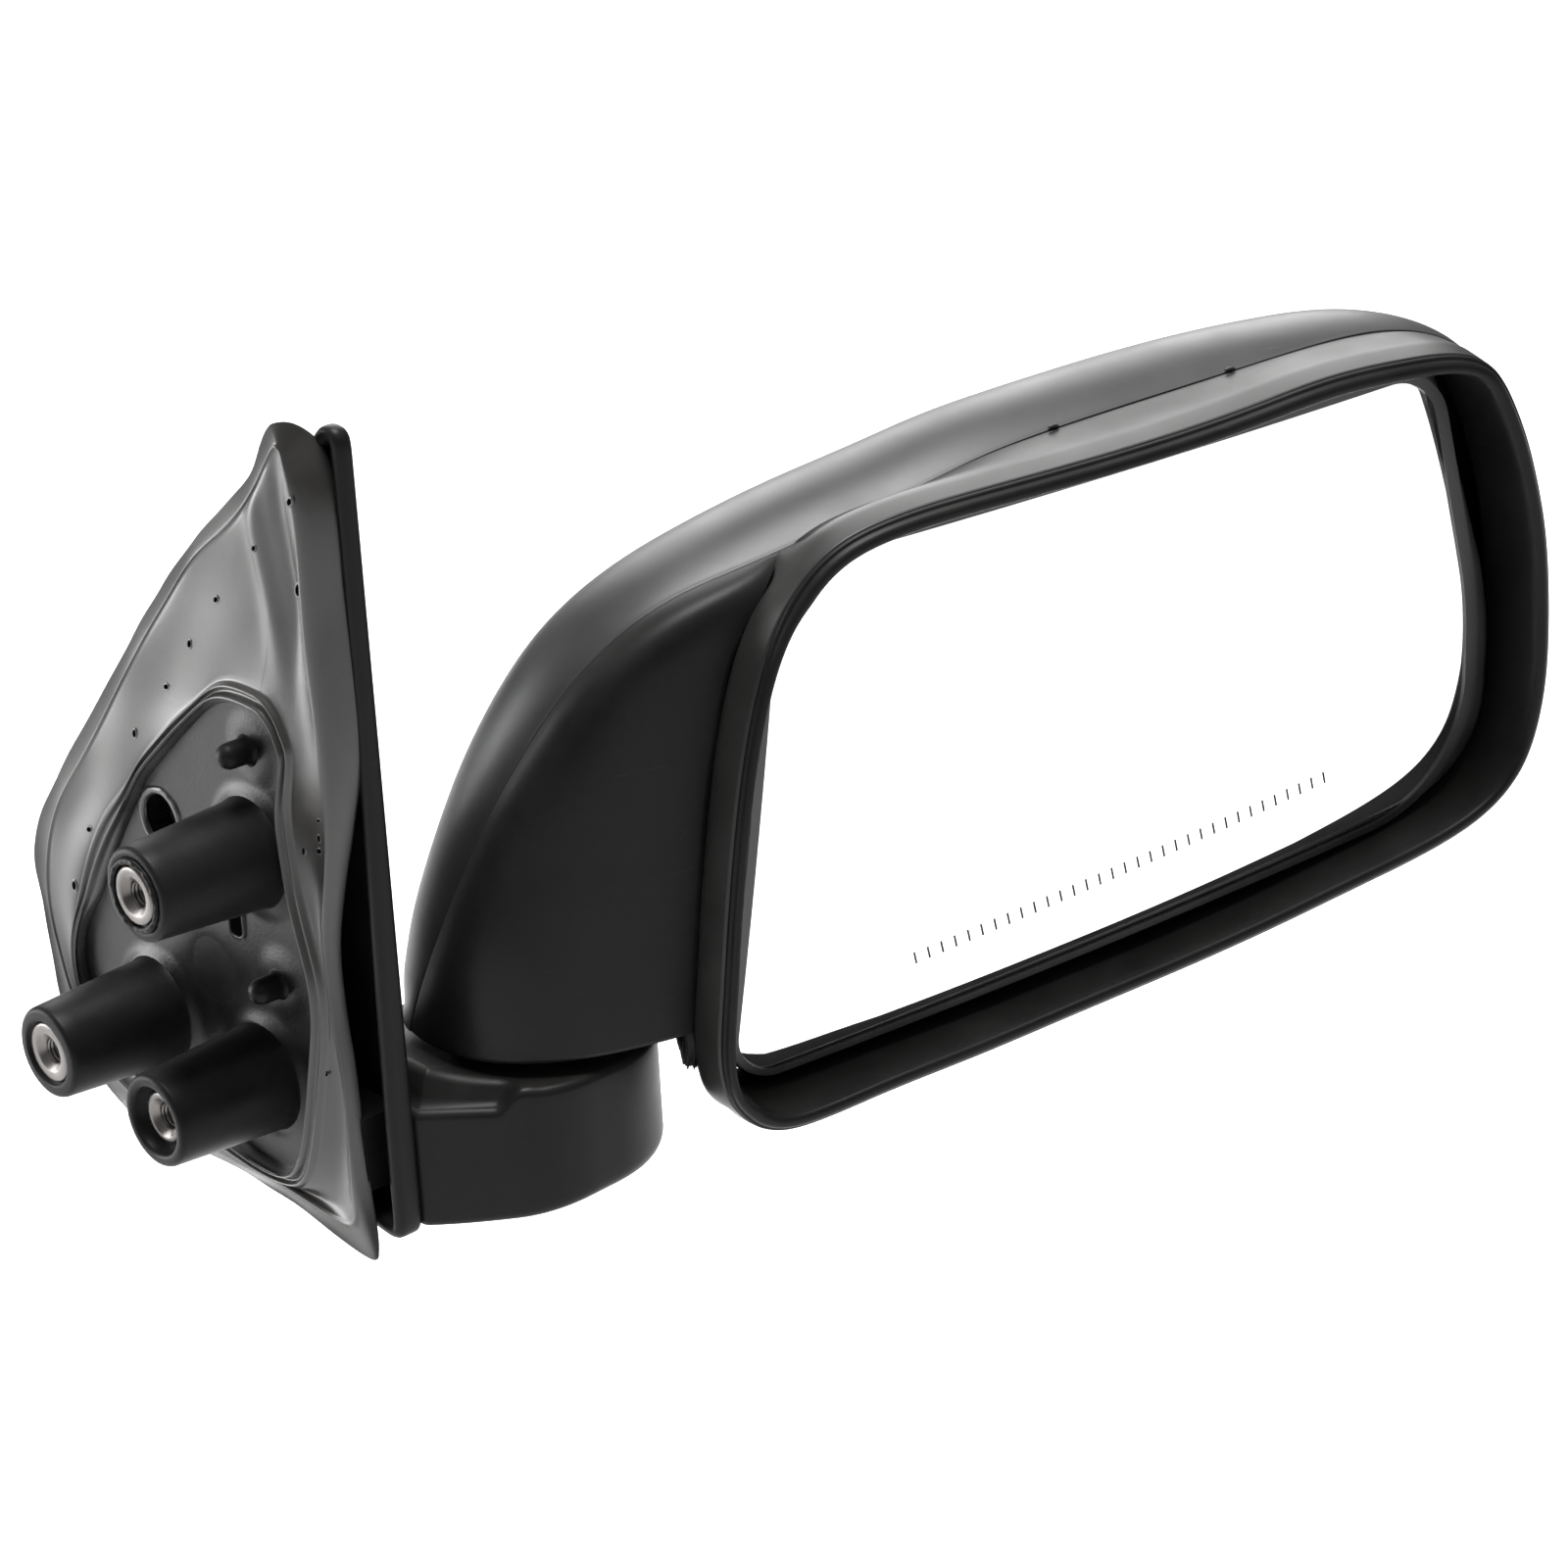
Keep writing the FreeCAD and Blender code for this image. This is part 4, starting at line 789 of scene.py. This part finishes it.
def sail_cover():
    """Triangular cover: its outline carried from the hidden inner edge round the thick rim, over the
    rounded edge, and drawn together to a crown in the middle of the outboard face."""
    loop = rounded_loop([(-36.4, -88.6, 3.2), (70, -70, 22), (86, -30, 22), (30, 26, 160),
                         (-29.4, 103.6, 3.4), (-36.4, 103.6, 3.2)], 420, 1.5)
    out = outward(loop)
    lower = smooth_step(60, -80, loop[:, 1])
    back = 38.6 - 2.2 * lower
    one = np.ones(len(loop))
    rows = []
    for inset, x in ((3.6, 42.0 * one), (3.6, back + 1.6), (3.2, back + 0.5), (2.4, back), (1.4, back + 0.0),
                     (0.6, back + 0.4), (0.12, back + 1.2), (0, back + 2.2), (0, 41.6 * one),
                     (0.15, 42.2 * one), (0.6, 42.8 * one), (1.3, 43.2 * one), (2.4, 43.5 * one), (4, 43.7 * one)):
        rows.append(np.column_stack([x, loop - out * inset]))
    centre = np.array([8.0, -22.0])
    last = loop - out * 4
    for share in np.linspace(0, 1, 26)[1:]:
        place = last + (centre - last) * share
        rows.append(np.column_stack([43.7 + 1.0 * one * math.sin(share * math.pi / 2), place]))
    piece("sail_cover_skin", [(np.stack(rows), False, True)], "base", HOUSING,
          replaces=("sail_cover",))


def foot():
    """The foot's plan outline carried down its wall: top drawn to the pivot, rounded top edge, wall,
    rounded lower edge, and underside.  Near the sail the wall's edge steps down over a soft bump,
    and inside it the top sweeps up in a fillet to the sail."""
    loop = rounded_loop([(43, -36, 0.4), (66, -58.8, 26), (112.2, -58.8, 29.2), (112.2, 0.8, 29.2),
                         (66, 6, 40), (43, 22, 0.4)], 460, 2.0)
    out = outward(loop)
    x = loop[:, 0]
    top = -53.0 - 4.3 * smooth_step(60.5, 56, x)
    top += 0.4 * hump(x, 61.5, 2.0) * smooth_step(-20, -34, loop[:, 1])
    bottom = -84.0 - 2.4 * smooth_step(78, 43, x)
    bottom_round = 2.0 + 2.6 * smooth_step(48, 90, x)
    centre = np.array([80.0, -27.0])
    rows = []
    for share in (1.0, 0.8, 0.6, 0.45, 0.3, 0.2, 0.13, 0.08, 0.04, 0.0):
        place = loop - out * 2.2
        place = place + (centre - place) * share
        sweep = -53.0 + 12.5 * np.exp(-np.clip(place[:, 0] - 43, 0, None) / 6.0)
        rows.append(np.column_stack([place, top + (sweep - top) * smooth_step(0.0, 0.13, share)]))
    for angle in np.linspace(0, math.pi / 2, 8)[1:]:
        rows.append(np.column_stack([loop - out * 2.2 * (1 - math.sin(angle)),
                                     top - 2.2 * (1 - math.cos(angle))]))
    for share in np.linspace(0, 1, 12)[1:]:
        rows.append(np.column_stack([loop, top - 2.2 + (bottom + bottom_round - top + 2.2) * share]))
    for angle in np.linspace(0, math.pi / 2, 9)[1:]:
        inset = bottom_round * (1 - math.cos(angle))
        rows.append(np.column_stack([loop - out * inset[:, None],
                                     bottom + bottom_round * (1 - math.sin(angle))]))
    last = rows[-1][:, :2]
    for share in (0.15, 0.4, 0.7, 1.0):
        rows.append(np.column_stack([last + (centre - last) * share, bottom + (-84 - bottom) * share]))
    piece("foot_skin", [(np.stack(rows), False, True)], "base", FOOT,
          replaces=("foot_cover", "foot_cap"))


def bosses():
    """Three tapered fixing bosses turned about their threads, each with a rounded end, a rim round
    the insert, and a fillet at the root."""
    rims = {"upper": [(6.0, 6.1), (1.4, 6.3), (1.0, 6.9), (0.9, 8.3), (0.4, 8.5)],
            "front": [(6.0, 6.1), (1.2, 6.3), (1.0, 7.6), (0.2, 7.8), (-0.1, 8.1)],
            "rear": [(6.0, 6.1), (4.2, 6.2), (4.0, 7.2), (0.9, 8.0), (0.3, 8.3)]}
    for label, centre in BOSSES.items():
        taper = [(x, 11.0 + 2.0 * x / 33) for x in np.linspace(1.3, 29.6, 10)]
        profile = (rims[label] + [(0.0, 8.8), (0.0, 9.7), (0.1, 10.2), (0.4, 10.65), (0.8, 10.92)] + taper
                   + [(30.8, 13.0), (31.6, 13.3), (32.3, 13.9), (32.8, 14.8), (33.0, 16.2), (33.3, 16.3)])
        piece("fixing_boss_" + label, [(turned(profile, centre, 0.0, 96), False, True)], "base",
              CASTING, replaces=("boss_" + label,))


def threaded_insert(label, face, radius, material):
    """Turned insert face with a countersink, then a helical thread: the radius at any angle and depth
    is the mean radius plus a triangle wave of (depth / pitch - angle / whole turn)."""
    centre = BOSSES[label]
    profile = [(face + 3.2, radius), (face + 0.7, radius), (face + 0.2, radius - 0.2), (face, radius - 0.7),
               (face, 4.9), (face + 0.15, 4.5), (face + 1.3, 3.3), (face + 1.6, 3.0)]
    head = turned(profile, centre, 0.0, 96)
    depth = np.linspace(0, 14.5, 146)[:, None]
    angle = np.linspace(0, 2 * math.pi, 96, endpoint=False)[None]
    turn = (depth - angle / (2 * math.pi)) % 1.0
    reach = 3.0 - 0.5 * (1 - np.abs(2 * turn - 1)) * smooth_step(0, 0.8, depth)
    hole = np.stack([face + 1.6 + depth + 0 * angle, centre[0] + reach * np.cos(angle),
                     centre[1] + reach * np.sin(angle)], -1)
    end = turned([(face + 16.1, 2.6), (face + 16.3, 0.01)], centre, 0.0, 96)
    piece("insert_" + label + "_thread", [(np.concatenate([head, hole, end]), False, True)], "base",
          material, replaces=("insert_" + label,))


def torn_ring():
    """Thin flash left round the upper insert: a small rounded collar whose edge rises and falls."""
    angle = np.linspace(0, 2 * math.pi, 120, endpoint=False)
    ragged = 0.25 * np.sin(5 * angle) + 0.2 * np.sin(11 * angle + 1) + 0.14 * np.sin(23 * angle)
    rows = []
    for turn in np.linspace(0, 2 * math.pi, 16, endpoint=False):
        radius = 8.0 + (0.75 + 0.3 * ragged) * math.cos(turn)
        x = -0.15 + (0.65 + 0.5 * ragged) * math.sin(turn)
        rows.append(np.column_stack([x, radius * np.cos(angle), radius * np.sin(angle)]))
    piece("upper_boss_flash", [(np.stack(rows), True, True)], "base", CASTING)


def pins():
    """Round-nosed locating pins, turned about their axes, flared where they meet the pan."""
    for number, centre in enumerate(PINS):
        nose = [(24 + 3.0 * (1 - math.cos(turn)), 0.01 + 3.0 * math.sin(turn))
                for turn in np.linspace(0, math.pi / 2, 10)]
        shank = [(x, 3.05) for x in (28.0, 29.0, 30.0, 30.6)]
        flare = [(31.2, 3.2), (31.7, 3.6), (32.1, 4.3), (32.4, 5.4)]
        skin = turned(nose + shank + flare, centre, 0.0, 60)
        piece("locating_pin_%d" % (number + 1), [(skin, False, True)],
              "base", CASTING, replaces=("locating_pins",) if number == 0 else ())


def pan():
    """The pan inside the bead, as rings from the edge of the cable hole out to under the bead.  Its
    depth at any point is the flat level plus a round dimple, low pads about the pins, and fillets
    rising to the boss roots."""
    ring = spline(np.arange(-4, len(GASKET_STATIONS) + 5),
                  GASKET_STATIONS[np.arange(-4, len(GASKET_STATIONS) + 5) % len(GASKET_STATIONS), :2],
                  np.linspace(0, len(GASKET_STATIONS), 500, endpoint=False))
    hole = np.array([36.0, -2.0])
    away = ring - hole
    reach = np.linalg.norm(away, axis=1)
    away /= reach[:, None]
    rows = []
    for share in np.concatenate([[0, 0, 0.004, 0.012, 0.02], np.linspace(0.03, 1, 90)]):
        place = hole + away * (6.3 + share * (reach + 0.8 - 6.3))[:, None]
        y, z = place[:, 0], place[:, 1]
        x = 32.6 + 1.6 * hump(np.hypot(y - 21, z + 36), 0, 8.0) + 0 * y
        for py, pz in PINS:
            x -= 0.7 * smooth_step(10.0, 4.0, np.hypot(y - py + 1.0, z - pz - 0.6))
        for by, bz in BOSSES.values():
            x -= 1.5 * np.clip(1 - (np.hypot(y - by, z - bz) - 13.0) / 4.5, 0, 1) ** 2
        x += 0.35 * np.sin(y / 17 + 1) * np.cos(z / 14)
        if len(rows) == 0:
            x = x + 5
        rows.append(np.column_stack([x, y, z]))
    piece("pan_skin", [(np.stack(rows), False, True)], "base", PAN)


def latch_slot():
    """Small round-ended slot with a raised lip under the upper boss; its floor is a flat near-black sheet, painted
    shade for the slot's dark inside.
    """
    loop = rounded_loop([(7.6, -23.4, 1.6), (12.2, -23.4, 1.6), (12.2, -16.6, 1.6), (7.6, -16.6, 1.6)], 80)
    out = outward(loop)
    rows = [np.column_stack([np.full(len(loop), x), loop + out * size])
            for size, x in ((1.2, 32.8), (0.9, 32.2), (0.3, 32.05), (0, 32.3), (0, 32.52))]
    inner = loop.mean(0) + (loop - loop.mean(0)) * 0.02
    piece("latch_slot_lip", [(np.stack(rows), False, True)], "base", PAN)
    # Flat near-black floor: painted shade where the open slot would look dark inside.
    floor = [np.column_stack([np.full(len(loop), 32.5), edge]) for edge in (loop, inner)]
    piece("latch_slot_painted_shade_floor", [(np.stack(floor), False, True)], "base", PAINTED_HOLE_SHADE)


def cable_grommet():
    """Torn membrane edge round the cable hole and a short dark sleeve behind it, both in the grey-black rubber."""
    angle = np.linspace(0, 2 * math.pi, 96, endpoint=False)
    ragged = 0.35 * np.sin(3 * angle + 1) + 0.25 * np.sin(8 * angle) + 0.15 * np.sin(19 * angle)
    rows = []
    for reach, x in ((8.6, 33.1), (8.3, 32.5), (7.6, 32.1), (6.8, 32.2), (6.2, 32.8), (6.0, 34.0),
                     (6.0, 39.2)):
        size = reach + (0.5 * ragged if reach > 7 else 0)
        rows.append(np.column_stack([x + 0 * angle, 36 + size * np.cos(angle), -2 + size * np.sin(angle)]))
    piece("cable_grommet", [(np.stack(rows), False, True)], "base", RUBBER)


GASKET_GRID = gasket()
pinholes(GASKET_GRID)
sail_cover()
foot()
bosses()
threaded_insert("upper", -0.5, 6.9, DARK_STEEL)
threaded_insert("front", 0.5, 7.3, DARK_STEEL)
threaded_insert("rear", 2.6, 6.2, DARK_STEEL)
torn_ring()
pins()
pan()
latch_slot()
cable_grommet()


# ---------------------------------------------------------------- glass marks

def glass_depth(across, height):
    """Depth of the convex glass face: its crest plus the rise of the sphere away from it."""
    return -33.0 + ((across - 230) ** 2 + (height - 6.5) ** 2) / 2800


GLASS_CORNERS = [(125.8, -66.0, 8), (325.4, -31.8, 27), (327.8, 12, 90), (311.4, 73.4, 6), (144.5, 56.8, 30)]


def glass_pane():
    """The glass: rings from its hidden back edge round a ground edge and in over the convex face."""
    loop = rounded_loop(GLASS_CORNERS, 420)
    out = outward(loop)
    centre = np.array([230.0, 6.5])
    rows = []
    for inset, behind in ((0.5, 1.9), (0.0, 1.5), (0.0, 0.45), (0.12, 0.2), (0.35, 0.05), (0.6, 0.0)):
        place = loop - out * inset
        rows.append(in_head(place[:, 0], glass_depth(place[:, 0], place[:, 1]) + behind, place[:, 1]))
    last = loop - out * 0.6
    for share in np.linspace(0, 1, 30)[1:]:
        place = last + (centre - last) * share
        rows.append(in_head(place[:, 0], glass_depth(place[:, 0], place[:, 1]), place[:, 1]))
    piece("glass_pane", [(np.stack(rows), False, True)], "glass", MIRROR,
          replaces=("mirror_glass",))


def holder_edge():
    """The holder's visible margin round the glass: a flat band, widest at the outer end, with a
    rounded edge and a skirt behind."""
    loop = rounded_loop(GLASS_CORNERS, 420)
    out = outward(loop)
    width = 0.7 + 0.9 * np.clip(-out[:, 1], 0, 1) + 3.8 * np.clip(out[:, 0], 0, 1) ** 2
    rows = []
    for share, behind in ((-0.4, 0.8), (0.0, 0.75), (0.3, 0.7), (0.6, 0.68), (0.8, 0.72), (0.92, 0.9),
                          (0.98, 1.2), (1.0, 1.7), (1.0, 4.0), (0.9, 4.6)):
        place = loop + out * (width * share)[:, None]
        rows.append(in_head(place[:, 0], glass_depth(place[:, 0], place[:, 1]) + behind, place[:, 1]))
    piece("holder_margin", [(np.stack(rows), False, True)], "glass", HOLDER)


def etched_marks():
    """One plain row of equal upright ticks at an even pitch, low on the glass: each a thin flat
    ribbon a hair above the face."""
    start = np.array([172.0, -46.0])
    end = np.array([285.5, -24.0])
    pitch = 3.5
    height = 3.0
    half_width = 0.25
    length = np.linalg.norm(end - start)
    along = (end - start) / length
    above = np.array([-along[1], along[0]])
    grids = []
    for number in range(int(length / pitch)):
        foot_point = start + along * pitch * (number + 0.5)
        rows = []
        for share in np.linspace(0, 1, 6):
            place = foot_point + above * height * share
            rows.append(np.stack([place + along * half_width, place - along * half_width]))
        flat = np.stack(rows)
        grids.append((in_head(flat[..., 0], glass_depth(flat[..., 0], flat[..., 1]) - 0.05,
                              flat[..., 1]), False, False))
    piece("glass_etched_ticks", grids, "glass", ETCH, wall=0.03)



glass_pane()
holder_edge()
etched_marks()


# ---------------------------------------------------------------- stage

def studio():
    """Pale floor, a big soft lamp above and a white surround."""
    floor_height = cad_low[2] - 0.25
    size = 6.0
    mesh = bpy.data.meshes.new("studio_floor")
    corners = [(-size, -size, floor_height), (size, -size, floor_height), (size, size, floor_height),
               (-size, size, floor_height)]
    mesh.from_pydata(corners, [], [(0, 1, 2, 3)])
    floor = bpy.data.objects.new("studio_floor", mesh)
    bpy.context.scene.collection.objects.link(floor)
    pale = bpy.data.materials.new("pale_floor")
    pale.use_nodes = True
    pale.node_tree.nodes["Principled BSDF"].inputs["Base Color"].default_value = (0.93, 0.93, 0.93, 1)
    pale.node_tree.nodes["Principled BSDF"].inputs["Roughness"].default_value = 0.9
    pale.node_tree.nodes["Principled BSDF"].inputs["Specular IOR Level"].default_value = 0.0
    mesh.materials.append(pale)
    bpy.context.scene.view_settings.view_transform = "Standard"
    world = bpy.data.worlds.new("soft_surround")
    bpy.context.scene.world = world
    world.use_nodes = True
    tree = world.node_tree
    direction = tree.nodes.new("ShaderNodeSeparateXYZ")
    tree.links.new(tree.nodes.new("ShaderNodeTexCoord").outputs["Generated"], direction.inputs[0])
    strength = spread(tree, direction.outputs["Z"], 0.05, 0.9, 0.10, 0.6)
    tree.links.new(strength, tree.nodes["Background"].inputs["Strength"])
    tree.nodes["Background"].inputs["Color"].default_value = (1, 1, 1, 1)
    for name, place, look, width, power in LAMPS:
        lamp = bpy.data.lights.new(name, "AREA")
        lamp.shape = "SQUARE"
        lamp.size = width
        lamp.energy = power
        obj = bpy.data.objects.new(name, lamp)
        place = np.array(place)
        ahead = np.array(look) - place
        ahead /= np.linalg.norm(ahead)
        right = np.cross(ahead, (0.0, 0.0, 1.0) if abs(ahead[2]) < 0.99 else (0.0, 1.0, 0.0))
        right /= np.linalg.norm(right)
        above = np.cross(right, ahead)
        obj.matrix_world = Matrix([(right[k], above[k], -ahead[k], place[k]) for k in range(3)]
                                  + [(0, 0, 0, 1)])
        bpy.context.scene.collection.objects.link(obj)


LAMPS = [("overhead_softbox", (0.05, 0.0, 3.0), (0.15, 0.0, 0.0), 1.3, 150.0),
         ("front_softbox", (1.75, 1.95, 1.35), (0.15, 0.0, 0.0), 2.0, 62.0),
         ("side_softbox", (-0.9, 1.5, 0.15), (0.08, 0.0, 0.0), 0.9, 32.0)]


def camera():
    """A long lens behind the mirror, on the car's side and above it."""
    lens = bpy.data.cameras.new("camera")
    lens.lens = 100
    lens.sensor_width = 36
    view = bpy.data.objects.new("camera", lens)
    right = (0.72604, -0.68590, -0.04902)
    above = (0.29102, 0.24189, 0.92563)
    ahead = (0.62304, 0.68632, -0.37523)
    place = (-0.4820, -0.7432, 0.3721)
    view.matrix_world = Matrix([(right[k], above[k], -ahead[k], place[k]) for k in range(3)]
                               + [(0, 0, 0, 1)])
    bpy.context.scene.collection.objects.link(view)
    bpy.context.scene.camera = view


studio()
camera()
